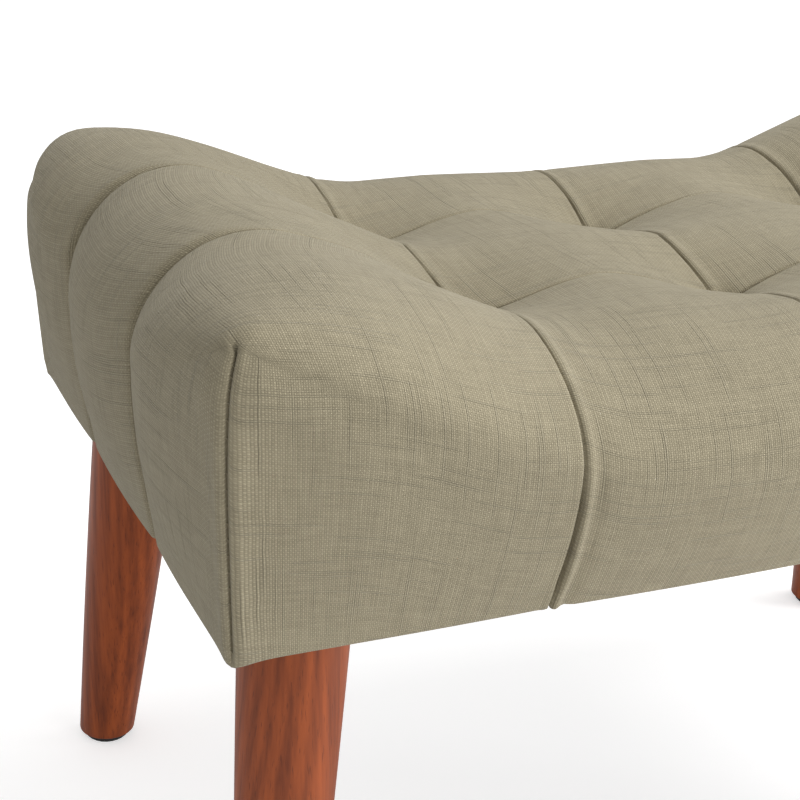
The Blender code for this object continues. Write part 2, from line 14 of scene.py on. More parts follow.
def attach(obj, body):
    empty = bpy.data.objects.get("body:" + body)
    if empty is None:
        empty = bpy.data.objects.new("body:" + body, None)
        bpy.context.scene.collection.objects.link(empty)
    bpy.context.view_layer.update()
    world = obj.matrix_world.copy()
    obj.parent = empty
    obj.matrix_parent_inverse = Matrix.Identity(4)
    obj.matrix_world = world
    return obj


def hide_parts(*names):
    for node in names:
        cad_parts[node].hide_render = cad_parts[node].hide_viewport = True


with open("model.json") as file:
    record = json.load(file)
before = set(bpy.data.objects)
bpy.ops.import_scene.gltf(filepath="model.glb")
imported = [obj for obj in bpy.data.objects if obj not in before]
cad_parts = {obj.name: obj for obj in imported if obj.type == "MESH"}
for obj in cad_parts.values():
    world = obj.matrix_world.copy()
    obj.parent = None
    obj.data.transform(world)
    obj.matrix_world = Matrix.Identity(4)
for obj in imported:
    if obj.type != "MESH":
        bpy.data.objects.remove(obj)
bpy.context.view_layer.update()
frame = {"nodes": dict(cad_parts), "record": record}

# Seat: lengths in metres, heights above the cover's bottom edge
SEAT_LENGTH = 0.708
SEAT_DEPTH = 0.420
BASE_HEIGHT = 0.290
SECTIONS_LONG = 4
SECTIONS_DEEP = 3
SEAT_DIP = 0.123
SADDLE_RISE = 0.055
SADDLE_RUN = 0.195
CREST_INSET = 0.027
FRONT_FACE = 0.068
END_FACE = 0.104
CORNER_SEAM = (0.179, 0.168)
FRONT_SHOULDER = 0.077
END_SHOULDER = 0.080
FRONT_BULGE = 0.007
END_BULGE = 0.013
CORNER_BULGE = 0.007
PILLOW_HEIGHT = 0.020
FRONT_PILLOW = 0.010
END_PILLOW = 0.012
CREST_FLATTENING = 0.7
PLEAT_DRAW = 0.0015
TUFT_DEPTH = 0.017
TUFT_RADIUS = 0.052
FOLD_SHARPNESS = 0.7
CORNER_FULLNESS = 0.6
TUFT_SHARPNESS = 1.25
FACE_RISE_LONG = 3.5
FACE_RISE_DEEP = 2.8
RISE_LEVELLING = 1.6
BULGE_FADE = 4
HALF_LENGTH = SEAT_LENGTH / 2
HALF_DEPTH = SEAT_DEPTH / 2
SECTION_LONG = SEAT_LENGTH / SECTIONS_LONG
SECTION_DEEP = SEAT_DEPTH / SECTIONS_DEEP
HEM_WIDTH = 0.030

# How deep the pleats lie: those across the seat from its middle to the front, those along it to an end
COLUMN_PLACES = (0.0, 0.070, 0.120, 0.160, 0.210)
COLUMN_DEPTHS = (0.60, 1.0, 0.45, 0.15, 0.32)
ROW_PLACES = (0.0, 0.0885, 0.177, 0.235, 0.300, 0.354)
ROW_DEPTHS = (1.0, 0.3, 1.0, 0.25, 0.3, 1.6)
END_FULLNESS = 0.005

# Lean of the pleats across the seat: how far, where it is full, and where it fades towards the ends
PLEAT_SWAY = 0.0065
SWAY_RUN = 0.090
SWAY_MIDDLE = 0.200
SWAY_FADE = 0.120

# Pleats across the seat: gap, its width and the welt, each with what it gains on an open face
COLUMN_GAP = (0.0023, 0.0033)
COLUMN_WIDTH = (0.0007, 0.0006)
COLUMN_WELT = (0.0006, 0.0006)
COLUMN_LIP = 0.0004
OPENING_DROPS = (0, 0.35, 0.75, 1)
OPENING_LEVELS = (0.1, 0.7, 1.0, 0.0)
COLUMN_WAVER = 0.0008
COLUMN_WAVES = 47

# Pleats along the seat: gap, with what it gains on an end, and their strength from the middle to an end
ROW_GAP = (0.0042, 0.002)
ROW_WIDTH = 0.0010
ROW_LIP = 0.0006
STRENGTH_PLACES = (0, 0.0885, 0.177, 0.25, 0.30, 0.33, 0.354)
STRENGTH_LEVELS = (0.6, 0.12, 0.6, 0.20, 0.5, 0.8, 1.0)
ROW_WAVER = 0.0006
ROW_WAVES = 52
VALLEY_PLACES = (0.28, 0.354)
VALLEY_DEPTHS = (0.0, 0.0075)
VALLEY_WIDTH = 0.0036

# Rolled welt beside a gap, its valley, the lip on the gap's other side, and the pinch at a tuft
WELT_PLACE = 0.0034
WELT_WIDTH = 0.0020
WELT_VALLEY = 0.0092
WELT_VALLEY_WIDTH = 0.0030
LIP_PLACE = 0.0030
LIP_WIDTH = 0.0025
PINCH_DEPTH = 0.005
PINCH_WIDTH = 0.008

# Rounding of the corners, at the front and at the back, their seams and the slack at their tips
CORNER_ROUND_TOP = (0.025, 0.034)
CORNER_ROUND_FOOT = 0.008
CORNER_ROUND_REACH = 0.045
CORNER_DOME = (0.038, 0.052)
DOME_REACH = 0.110
SEAM_DEPTH = 0.0024
SEAM_WIDTH = 0.0011
SEAM_RUN_IN = 0.020
SEAM_FOOT_FADE = 0.06
SEAM_FULLNESS = 0.0010
FULLNESS_PLACE = 0.006
FULLNESS_WIDTH = 0.004
PUCKER_HEIGHT = 0.0013
PUCKER_PLACE = 0.005
PUCKER_WIDTH = 0.0035
TIP_DROOP = 0.0025
TIP_REACH = 0.014

# Mesh of the cover: step beside a fold, widest step, growth between them, rows down a face
FOLD_STEP = 0.0004
PILLOW_STEP = 0.006
STEP_GROWTH = 1.25
FACE_ROWS = 40
EDGE_ROUNDING = 0.0025
EDGE_ROWS = 4
HEM_ROWS = 3

# Cloth simulation that fills the pillows: fill before it, mesh, pressure, frames and travel
CLOTH_FILL = 0.85
CLOTH_STEP = 0.008
CLOTH_WIDEST = CLOTH_STEP * 1.3
CLOTH_ROWS = 14
CLOTH_PRESSURE = 4.0
CLOTH_FRAMES = 20
CLOTH_TRAVEL = 0.006

# How firmly the cloth is held at a pleat, and how wide the hold is there, at a tuft and at a corner
PLEAT_HOLD = 0.5
PLEAT_HOLD_WIDTH = 0.006
TUFT_HOLD_WIDTH = 0.016
CORNER_HOLD_WIDTH = 0.022

# Stitches of the corner seams: columns beside the seam, thread, height over the groove, bite
STITCH_COLUMNS = 4
STITCH_RADIUS = 0.00028
STITCH_RISE = 0.0010
STITCH_BITE = 0.0004

# Twine of the tufts: its knot under the deck's washer, one twist, its plies and the knot's coil
TWINE_FOOT = 0.3440
TWINE_LAY = 0.009
TWINE_STEPS = 60
PLY_RADIUS = 0.0010
PLY_OFFSET = 0.0009
PIT_CLEARANCE = 0.0015
KNOT_RADIUS = 0.0030
KNOT_TURNS = 2.5
KNOT_PITCH = 0.0024
KNOT_CORD_RADIUS = 0.0012
KNOT_DROP = 0.0016

# Legs, as in the solids
LEG_TOP = 0.2886
LEG_BOTTOM = 0.0053
LEG_X = 0.2999
LEG_Y = 0.1559
LEG_SPLAY = (np.tan(np.radians(4.5)), np.tan(np.radians(6.5)))
LEG_TOP_RADIUS = 0.031
LEG_FOOT_RADIUS = 0.020
LEG_SWELL = 0.0008
LEG_EDGE = 0.0015
LEG_SIDES = 72
LEG_RINGS = 28
LEG_EDGE_RINGS = 5
LEG_SHARP_ANGLE = np.radians(50)
BOLT_BORE = 0.0043
BOLT_DEPTH = 0.0403
PIN_BORE = 0.0028
PIN_DEPTH = 0.0143
CORNERS = [
    ("front_left", -1, -1),
    ("front_right", 1, -1),
    ("back_left", -1, 1),
    ("back_right", 1, 1),
]

# Dust cover
DUST_HALF = (0.338, 0.194)
DUST_UNDERSIDE = 0.2889
DUST_THICKNESS = 0.0006
DUST_SAG = 0.004
DUST_HEM = 0.013
DUST_CELLS = (68, 40)
DUST_EDGE_RUN = 0.09
DUST_LEG_CLEAR = 0.045
DUST_LEG_RUN = 0.06

# Staples of the dust cover
STAPLE_PITCH = 0.042
STAPLE_HALF = 0.005
STAPLE_BEND = 0.0006
STAPLE_RISE = 0.0009
STAPLE_PROUD = 0.0003
STAPLE_TILT = 0.12
WIRE_HALF_WIDTH = 0.0006
WIRE_HALF_HEIGHT = 0.0003

# Linen threads
WARP_WIDTH = 0.00135
WEFT_WIDTH = 0.00118

# Timber: ring width, wander of the rings, light, dark and pore colours, roughness, coat
LEG_LOOK = (0.009, 0.035, (0.42, 0.091, 0.019), (0.15, 0.030, 0.008), (0.05, 0.008, 0.003), 0.40, 0.08)
PINE_LOOK = (0.006, 0.012, (0.66, 0.47, 0.27), (0.45, 0.27, 0.12), (0.35, 0.2, 0.09), 0.6, 0.0)
PLYWOOD_LOOK = (0.012, 0.05, (0.58, 0.43, 0.27), (0.42, 0.28, 0.15), (0.3, 0.19, 0.1), 0.65, 0.0)

# Speckled finishes: light and dark colours, scale of the speckle, roughness, metallic, depth of the grain
SPECKLED_LOOKS = {
    "zinc_plate": ((0.66, 0.66, 0.64), (0.50, 0.50, 0.50), 300.0, 0.38, 1.0, 0.00005),
    "black_plastic": ((0.025, 0.025, 0.025), (0.012, 0.012, 0.012), 500.0, 0.5, 0.0, 0.00008),
    "linen_thread": ((0.36, 0.315, 0.215), (0.27, 0.235, 0.155), 700.0, 0.85, 0.0, 0.0001),
    "waxed_twine": ((0.60, 0.55, 0.42), (0.42, 0.37, 0.27), 700.0, 0.8, 0.0, 0.0002),
    "non_woven_black": ((0.040, 0.040, 0.042), (0.014, 0.014, 0.015), 420.0, 0.92, 0.0, 0.0004),
    "open_cell_foam": ((0.82, 0.76, 0.58), (0.70, 0.63, 0.45), 600.0, 0.95, 0.0, 0.0003),
}

# Studio: each softbox's place, aim, size and power, and the camera fitted to the photograph
SOFTBOXES = [
    ("key_softbox", (1.3, -0.3, 2.2), (0.0, 0.0, 0.4), 1.6, 42.0),
    ("front_softbox", (0.9, -2.3, 1.0), (0.0, 0.0, 0.30), 1.3, 15.5),
    ("leg_strip", (1.6, -0.7, 0.30), (-0.3, -0.17, 0.15), 0.5, 13.5),
]
SURROUND_LIGHT = 0.55
FLOOR_GLOW = 0.55
FLOOR_REACH = 14.0
CAMERA_PLACE = (-0.5777, -0.9064, 0.7339)
CAMERA_YAW = np.radians(23.92)
CAMERA_PITCH = np.radians(22.28)
CAMERA_ROLL = np.radians(2.59)
CAMERA_LENS = 77.2
CAMERA_SENSOR = 36.0


def smooth_step(value):
    value = np.clip(value, 0.0, 1.0)
    return value * value * (3 - 2 * value)


def bell(distance, width):
    return np.exp(-((distance / width) ** 2))


def levels_between(value, places, levels):
    """The level at a value, running smoothly from place to place."""
    share = np.interp(value, places, np.arange(len(places)))
    below = np.clip(np.floor(share).astype(int), 0, len(places) - 2)
    levels = np.asarray(levels)
    return levels[below] + (levels[below + 1] - levels[below]) * smooth_step(share - below)


def grid_faces(rows, columns):
    """Corner lists of a grid of points that is stored row by row."""
    i, j = np.meshgrid(np.arange(rows - 1), np.arange(columns - 1), indexing="ij")
    first = (i * columns + j).ravel()
    return np.stack([first, first + columns, first + columns + 1, first + 1], axis=-1)


# Upholstered surface


def shoulder_angle(position, half, shoulder):
    return np.arcsin(np.clip((np.abs(position) - half + shoulder) / shoulder, 0.0, 1.0))


def seat_height(x):
    start = HALF_LENGTH - CREST_INSET - SADDLE_RUN
    return SEAT_DIP + SADDLE_RISE * smooth_step((np.abs(x) - start) / SADDLE_RUN)


def pillow_share(sections, count, depth, on_face):
    """1 in the middle of a section, less beside a pleat of that depth."""
    wave = np.abs(np.sin(np.pi * sections))
    inner = (sections > 0.5) & (sections < count - 0.5)
    by_pleat = 1 - (1 - wave**FOLD_SHARPNESS) * depth
    return np.where(inner, by_pleat, 1 - (1 - wave**CORNER_FULLNESS) * on_face)


def tuft_distance(x, y):
    column = np.clip(np.round((x + HALF_LENGTH) / SECTION_LONG), 1, SECTIONS_LONG - 1)
    row = np.clip(np.round((y + HALF_DEPTH) / SECTION_DEEP), 1, SECTIONS_DEEP - 1)
    away_x = x + HALF_LENGTH - column * SECTION_LONG
    away_y = y + HALF_DEPTH - row * SECTION_DEEP
    return np.hypot(away_x, away_y)


def rise_long(x):
    """How far a long rim has risen from the middle, 0, to the corners, 1, where it is level again."""
    return 1 - (1 - (np.abs(x) / HALF_LENGTH) ** FACE_RISE_LONG) ** RISE_LEVELLING


def rise_deep(y):
    """The same along an end's rim."""
    return 1 - (1 - (np.abs(y) / HALF_DEPTH) ** FACE_RISE_DEEP) ** RISE_LEVELLING


def upholstery(x, y, fill):
    """The seat's surface over (x, y); fill scales how far the pillows stand out of their folds."""
    end_turn = shoulder_angle(x, HALF_LENGTH, END_SHOULDER)
    front_turn = shoulder_angle(y, HALF_DEPTH, FRONT_SHOULDER)
    to_end = np.sin(end_turn)
    to_front = np.sin(front_turn)
    crest = seat_height(HALF_LENGTH)
    seam = np.where(y < 0, *CORNER_SEAM)
    corner_fall = (crest - seam) / 2
    height = seat_height(x)
    front_fall = height - FRONT_FACE - (seam - FRONT_FACE + corner_fall) * rise_long(x)
    end_fall = crest - END_FACE - (seam - END_FACE + corner_fall) * rise_deep(y)
    height = height - front_fall * (1 - np.cos(front_turn)) - end_fall * (1 - np.cos(end_turn))

    end_fade = (y / HALF_DEPTH) ** BULGE_FADE
    end_bulge = to_end * (END_BULGE + (CORNER_BULGE - END_BULGE) * end_fade)
    front_fade = (x / HALF_LENGTH) ** BULGE_FADE
    front_bulge = to_front * (FRONT_BULGE + (CORNER_BULGE - FRONT_BULGE) * front_fade)

    along = (x + HALF_LENGTH) / SECTION_LONG
    across = (y + HALF_DEPTH) / SECTION_DEEP
    outer_start = HALF_LENGTH - SECTION_LONG
    crest_share = smooth_step((np.abs(x) - outer_start) / (SECTION_LONG - CREST_INSET))
    pillow = PILLOW_HEIGHT / 2 * (1 - CREST_FLATTENING * crest_share)
    on_front = to_front**2
    on_end = to_end**2
    long_pillow = pillow * (1 - on_front) + FRONT_PILLOW * on_front
    deep_pillow = pillow * (1 - on_end) + END_PILLOW * on_end
    column_depth = levels_between(np.abs(y), COLUMN_PLACES, COLUMN_DEPTHS)
    row_depth = levels_between(np.abs(x), ROW_PLACES, ROW_DEPTHS)
    lift = long_pillow * pillow_share(along, SECTIONS_LONG, column_depth, on_front) * (1 - on_end)
    lift = lift + deep_pillow * pillow_share(across, SECTIONS_DEEP, row_depth, on_end) * (1 - on_front)
    pull = np.exp(-((tuft_distance(x, y) / TUFT_RADIUS) ** TUFT_SHARPNESS))
    lift = lift * fill - TUFT_DEPTH * pull
    lift = lift + END_FULLNESS * np.sin(2 * end_turn) * (1 - on_front) * (1 - np.abs(y / HALF_DEPTH) ** 3)

    outward = [np.sign(x) * on_end, np.sign(y) * on_front, np.cos(end_turn) * np.cos(front_turn)]
    base = [x + np.sign(x) * end_bulge, y + np.sign(y) * front_bulge, height]
    return np.stack([place + way * lift for place, way in zip(base, outward)], axis=-1)


def round_corner(points, x, y, down):
    """Eases the box corner into a soft dome; down is how far a point lies below the rim."""
    top = np.where(y < 0, *CORNER_ROUND_TOP)
    dome = np.where(y < 0, *CORNER_DOME)
    plan = CORNER_ROUND_FOOT + (top - CORNER_ROUND_FOOT) * bell(down, CORNER_ROUND_REACH)
    from_end = HALF_LENGTH - np.abs(x)
    from_front = HALF_DEPTH - np.abs(y)
    near = smooth_step(1 - np.hypot(from_end, from_front) / DOME_REACH)
    into_x = np.maximum(0.0, 1 - from_end / plan)
    into_y = np.maximum(0.0, 1 - from_front / plan)
    into_z = np.maximum(0.0, 1 - down / dome)
    length = np.sqrt(into_x**2 + into_y**2 + into_z**2)
    cut = np.where(down > dome, 1.0, near) * (1 - 1 / np.maximum(length, 1.0))
    moved = np.stack([np.sign(x) * into_x * plan, np.sign(y) * into_y * plan, into_z * dome], axis=-1)
    return points - moved * cut[..., None]


def sway_pleats(points, x, y, drop):
    """Lets the pleats across the seat lean: to the right at the front, to the left at the back."""
    run = np.where(drop > 0, 1 - np.clip(drop, 0, 1) ** 2, smooth_step(np.abs(y) / SWAY_RUN))
    middle = 1 - smooth_step((np.abs(x) - SWAY_MIDDLE) / SWAY_FADE)
    points[..., 0] -= np.sign(y) * PLEAT_SWAY * run * middle
    return points


def eased(length, step, widest):
    """Places from a fold into a pillow: close together beside the fold, wider further in."""
    steps = [step]
    while sum(steps) < length:
        steps.append(min(steps[-1] * STEP_GROWTH, widest))
    places = np.concatenate([[0.0], np.cumsum(steps)])
    return places * length / places[-1]


def stations(half, sections, shoulder, step, widest):
    """Places along one side that get a row of points, finest at the pleats."""
    section = 2 * half / sections
    pleats = [section * k - half for k in range(1, sections)]
    places = []
    for left, right in zip(pleats, pleats[1:]):
        places += list(left + eased(section / 2, step, widest))
        places += list(right - eased(section / 2, step, widest))
    flat = pleats[-1] + eased(half - shoulder - pleats[-1], step, widest)
    turns = np.linspace(0, np.pi / 2, round(np.pi / 2 * shoulder / widest) + 1)
    outer = np.concatenate([flat, half - shoulder + shoulder * np.sin(turns[1:])])
    places += list(outer) + list(-outer)
    return np.unique(np.round(places, 9))


class CoverGrid:
    """The cover as rows of points: the seat, the skirt round it, its hem and the closed underside.

    x and y hold each point's place on the flat pattern, drop how far down a face it lies: 0 at the
    rim, 1 at the bottom edge, 2 on the hem.
    """

    def __init__(self, along, across, rows, fill):
        self.along = along
        self.across = across
        self.rows = rows
        x, y = np.meshgrid(along, across, indexing="ij")
        self.seat = upholstery(x, y, fill)
        last_x = len(along) - 1
        last_y = len(across) - 1
        front = [(i, 0) for i in range(last_x)]
        right = [(last_x, j) for j in range(last_y)]
        back = [(i, last_y) for i in range(last_x, 0, -1)]
        left = [(0, j) for j in range(last_y, 0, -1)]
        self.rim = np.array(front + right + back + left)
        self.on_end = np.zeros(len(self.rim), bool)
        self.on_end[len(front):len(front) + len(right)] = True
        self.on_end[len(front) + len(right) + len(back):] = True
        self.rim_x = along[self.rim[:, 0]]
        self.rim_y = across[self.rim[:, 1]]
        self.skirt = self.skirt_rows()
        x, y, drop = self.pattern()
        x = x[:-1]
        y = y[:-1]
        drop = drop[:-1]
        on_seat = len(along) * len(across)
        below_rim = self.seat[self.rim[:, 0], self.rim[:, 1], 2] - self.skirt[..., 2]
        down = np.concatenate([np.zeros(on_seat), below_rim.ravel()])
        flat = np.concatenate([self.seat.reshape(-1, 3), self.skirt.reshape(-1, 3)])
        flat = sway_pleats(round_corner(flat, x, y, down), x, y, drop)
        from_corner = np.hypot(HALF_LENGTH - np.abs(x), HALF_DEPTH - np.abs(y))
        flat[:, 2] -= TIP_DROOP * bell(from_corner, TIP_REACH) * np.where(drop > 1, 0.0, drop**3)
        self.seat = flat[:on_seat].reshape(self.seat.shape)
        self.skirt = flat[on_seat:].reshape(self.skirt.shape)

    def skirt_rows(self):
        """Points down the four faces, round the bottom edge and in under the rails."""
        rim_x = self.rim_x
        rim_y = self.rim_y
        top = self.seat[self.rim[:, 0], self.rim[:, 1]]
        at_end = np.isclose(np.abs(rim_x), HALF_LENGTH)
        at_front = np.isclose(np.abs(rim_y), HALF_DEPTH)
        share_long = pillow_share((rim_x + HALF_LENGTH) / SECTION_LONG, SECTIONS_LONG, 1.0, 0.0)
        share_deep = pillow_share((rim_y + HALF_DEPTH) / SECTION_DEEP, SECTIONS_DEEP, 1.0, 0.0)
        inward_x = -np.sign(rim_x) * at_end
        inward_y = -np.sign(rim_y) * at_front
        foot_x = rim_x + inward_x * PLEAT_DRAW * (1 - share_deep)
        foot_y = rim_y + inward_y * PLEAT_DRAW * (1 - share_long)
        rows = []
        for row in range(1, self.rows + 1):
            height = top[:, 2] + (EDGE_ROUNDING - top[:, 2]) * row / self.rows
            swell = np.sin(np.pi / 2 * np.clip(height / top[:, 2], 0, 1))
            wide_x = foot_x + (top[:, 0] - foot_x) * swell
            wide_y = foot_y + (top[:, 1] - foot_y) * swell
            rows.append(np.stack([wide_x, wide_y, height], axis=-1))
        edge = rows[-1]
        for step in range(1, EDGE_ROWS + 1):
            turn = np.pi / 2 * step / EDGE_ROWS
            inset = EDGE_ROUNDING * (1 - np.cos(turn))
            low = np.full(len(edge), EDGE_ROUNDING * (1 - np.sin(turn)))
            turned_x = edge[:, 0] + inward_x * inset
            turned_y = edge[:, 1] + inward_y * inset
            rows.append(np.stack([turned_x, turned_y, low], axis=-1))
        for reach in HEM_WIDTH * np.arange(1, HEM_ROWS + 1) / HEM_ROWS:
            inner_x = edge[:, 0] * (1 - reach / HALF_LENGTH)
            inner_y = edge[:, 1] * (1 - reach / HALF_DEPTH)
            rows.append(np.stack([inner_x, inner_y, low], axis=-1))
        return np.array(rows)

    def sides(self):
        """Rim columns of the four faces, each with both of its corners."""
        count = len(self.rim)
        last_x = len(self.along) - 1
        last_y = len(self.across) - 1
        starts = np.cumsum([0, last_x, last_y, last_x, last_y])
        return [np.arange(a, b + 1) % count for a, b in zip(starts, starts[1:])]

    def points(self):
        """All points in one list, lifted to the cover's height; the middle of the underside is last."""
        flat = np.concatenate([self.seat.reshape(-1, 3), self.skirt.reshape(-1, 3), [[0.0, 0.0, 0.0]]])
        return flat + [0.0, 0.0, BASE_HEIGHT]

    def pattern(self):
        """Each point's x and y on the flat pattern, and its drop."""
        x, y = np.meshgrid(self.along, self.across, indexing="ij")
        levels = self.rows + EDGE_ROWS + HEM_ROWS
        drop = np.minimum(np.arange(1, levels + 1) / self.rows, 1.0)
        drop[self.rows + EDGE_ROWS:] = 2.0
        count = len(self.rim)
        flat_x = np.concatenate([x.ravel(), np.tile(self.rim_x, levels), [0.0]])
        flat_y = np.concatenate([y.ravel(), np.tile(self.rim_y, levels), [0.0]])
        drops = np.concatenate([np.zeros(x.size), np.repeat(drop, count), [2.0]])
        return flat_x, flat_y, drops

    def faces(self):
        """Corner lists of the seat, the skirt and the underside, all facing outwards."""
        wide = len(self.across)
        seat = grid_faces(len(self.along), wide)
        count = len(self.rim)
        above = self.rim[:, 0] * wide + self.rim[:, 1]
        start = self.seat.shape[0] * wide
        bands = []
        for level in range(len(self.skirt)):
            below = start + level * count + np.arange(count)
            bands.append(np.stack([above, below, np.roll(below, -1), np.roll(above, -1)], axis=-1))
            above = below
        middle = np.full(count, start + len(self.skirt) * count)
        cap = np.stack([above, middle, np.roll(above, -1)], axis=-1)
        return seat, np.array(bands), cap

    def cloth_places(self):
        """Thread coordinates, in metres of cloth, for the seat and for each skirt band."""
        run_x = np.linalg.norm(np.diff(self.seat, axis=0), axis=-1)
        run_y = np.linalg.norm(np.diff(self.seat, axis=1), axis=-1)
        u = np.concatenate([np.zeros((1, len(self.across))), np.cumsum(run_x, axis=0)])
        v = np.concatenate([np.zeros((len(self.along), 1)), np.cumsum(run_y, axis=1)], axis=1)
        u = u - u[np.argmin(np.abs(self.along))]
        v = v - v[:, [np.argmin(np.abs(self.across))]]
        seat = np.stack([u, v], axis=-1)
        rim = seat[self.rim[:, 0], self.rim[:, 1]]
        top = self.seat[self.rim[:, 0], self.rim[:, 1]]
        levels = np.concatenate([top[None], self.skirt])
        run = np.cumsum(np.linalg.norm(np.diff(levels, axis=0), axis=-1), axis=0)
        run = np.concatenate([np.zeros((1, len(self.rim))), run])
        flat_u = np.tile(rim[:, 0], (len(run), 1))
        flat_v = np.tile(rim[:, 1], (len(run), 1))
        down_front = np.stack([flat_u, flat_v + np.sign(self.rim_y) * run], axis=-1)
        down_end = np.stack([flat_u + np.sign(self.rim_x) * run, flat_v], axis=-1)
        return seat.reshape(-1, 2), down_front, down_end


def fold(distance, gap, width, welt, lip):
    """Height across a pleat: a lip, the dark gap, then a rolled welt and its valley."""
    roll = bell(distance - WELT_PLACE, WELT_WIDTH) - 0.8 * bell(distance - WELT_VALLEY, WELT_VALLEY_WIDTH)
    return welt * roll + lip * bell(distance + LIP_PLACE, LIP_WIDTH) - gap * bell(distance, width)


def fold_heights(x, y, drop):
    """How far the pleats, tufts and welts move each point of the cover along its normal."""
    column = np.clip(np.round((x + HALF_LENGTH) / SECTION_LONG), 1, SECTIONS_LONG - 1)
    row = np.clip(np.round((y + HALF_DEPTH) / SECTION_DEEP), 1, SECTIONS_DEEP - 1)
    waver_column = COLUMN_WAVER * np.sin(COLUMN_WAVES * y + 2.3 * column)
    waver_row = ROW_WAVER * np.sin(ROW_WAVES * x + 1.9 * row)
    from_column = x + HALF_LENGTH - column * SECTION_LONG + waver_column
    from_row = y + HALF_DEPTH - row * SECTION_DEEP + waver_row
    on_end = np.isclose(np.abs(x), HALF_LENGTH)
    on_front = np.isclose(np.abs(y), HALF_DEPTH) & ~on_end
    hem = drop > 1.0

    opening = np.where(on_front, levels_between(drop, OPENING_DROPS, OPENING_LEVELS), 0.0)
    gap = COLUMN_GAP[0] + COLUMN_GAP[1] * opening
    width = COLUMN_WIDTH[0] + COLUMN_WIDTH[1] * opening
    welt = COLUMN_WELT[0] + COLUMN_WELT[1] * on_front
    columns = fold(from_column, gap, width, welt, COLUMN_LIP)

    gap = ROW_GAP[0] + ROW_GAP[1] * on_end
    strength = levels_between(np.abs(x), STRENGTH_PLACES, STRENGTH_LEVELS)
    rows = strength * fold(from_row, gap, ROW_WIDTH, 0.0, ROW_LIP)
    valley = levels_between(np.abs(x), VALLEY_PLACES, VALLEY_DEPTHS)
    valley = valley * levels_between(drop, (0.6, 1), (1, 0.4))
    rows = rows - valley * bell(from_row, VALLEY_WIDTH)

    pinch = PINCH_DEPTH * bell(tuft_distance(x, y), PINCH_WIDTH)
    moved = np.where(on_end, 0.0, columns) + np.where(on_front, 0.0, rows) - np.where(drop > 0, 0.0, pinch)
    return np.where(hem, 0.0, moved + corner_seam(x, y, drop))


def corner_seam(x, y, drop):
    """The sewn groove down each corner, its end run in over the dome, and the full cloth beside it."""
    from_end = HALF_LENGTH - np.abs(x)
    from_front = HALF_DEPTH - np.abs(y)
    on_face = drop > 0
    beside = np.abs(from_end - from_front)
    inward = np.sqrt(2) * np.minimum(from_end, from_front)
    run_in = smooth_step(1.5 - 1.5 * inward / SEAM_RUN_IN) * smooth_step((1 - drop) / SEAM_FOOT_FADE)
    fullness = SEAM_FULLNESS * bell(beside - FULLNESS_PLACE, FULLNESS_WIDTH)
    groove = fullness - SEAM_DEPTH * bell(beside, SEAM_WIDTH)
    from_pucker = np.hypot(inward - SEAM_RUN_IN, beside - PUCKER_PLACE)
    pucker = PUCKER_HEIGHT * bell(from_pucker, PUCKER_WIDTH)
    return groove * run_in + np.where(on_face | (from_end <= from_front), 0.0, pucker)


def mesh_object(name, points, faces, material, smooth=True):
    mesh = bpy.data.meshes.new(name)
    mesh.from_pydata([tuple(p) for p in points], [], [tuple(int(c) for c in f) for f in faces])
    mesh.polygons.foreach_set("use_smooth", np.full(len(mesh.polygons), smooth))
    mesh.update()
    piece = bpy.data.objects.new(name, mesh)
    bpy.context.scene.collection.objects.link(piece)
    if material:
        mesh.materials.append(material)
    return piece


def curve_values(values, places, wanted):
    """Values along the first axis, read off a smooth curve at the wanted places."""
    slopes = np.gradient(values, places, axis=0)
    k = np.clip(np.searchsorted(places, wanted, side="right") - 1, 0, len(places) - 2)
    column = (-1,) + (1,) * (values.ndim - 1)
    width = (places[k + 1] - places[k]).reshape(column)
    t = (wanted - places[k]).reshape(column) / width
    near = (2 * t**3 - 3 * t**2 + 1) * values[k] + (t**3 - 2 * t**2 + t) * width * slopes[k]
    return near + (3 * t**2 - 2 * t**3) * values[k + 1] + (t**3 - t**2) * width * slopes[k + 1]


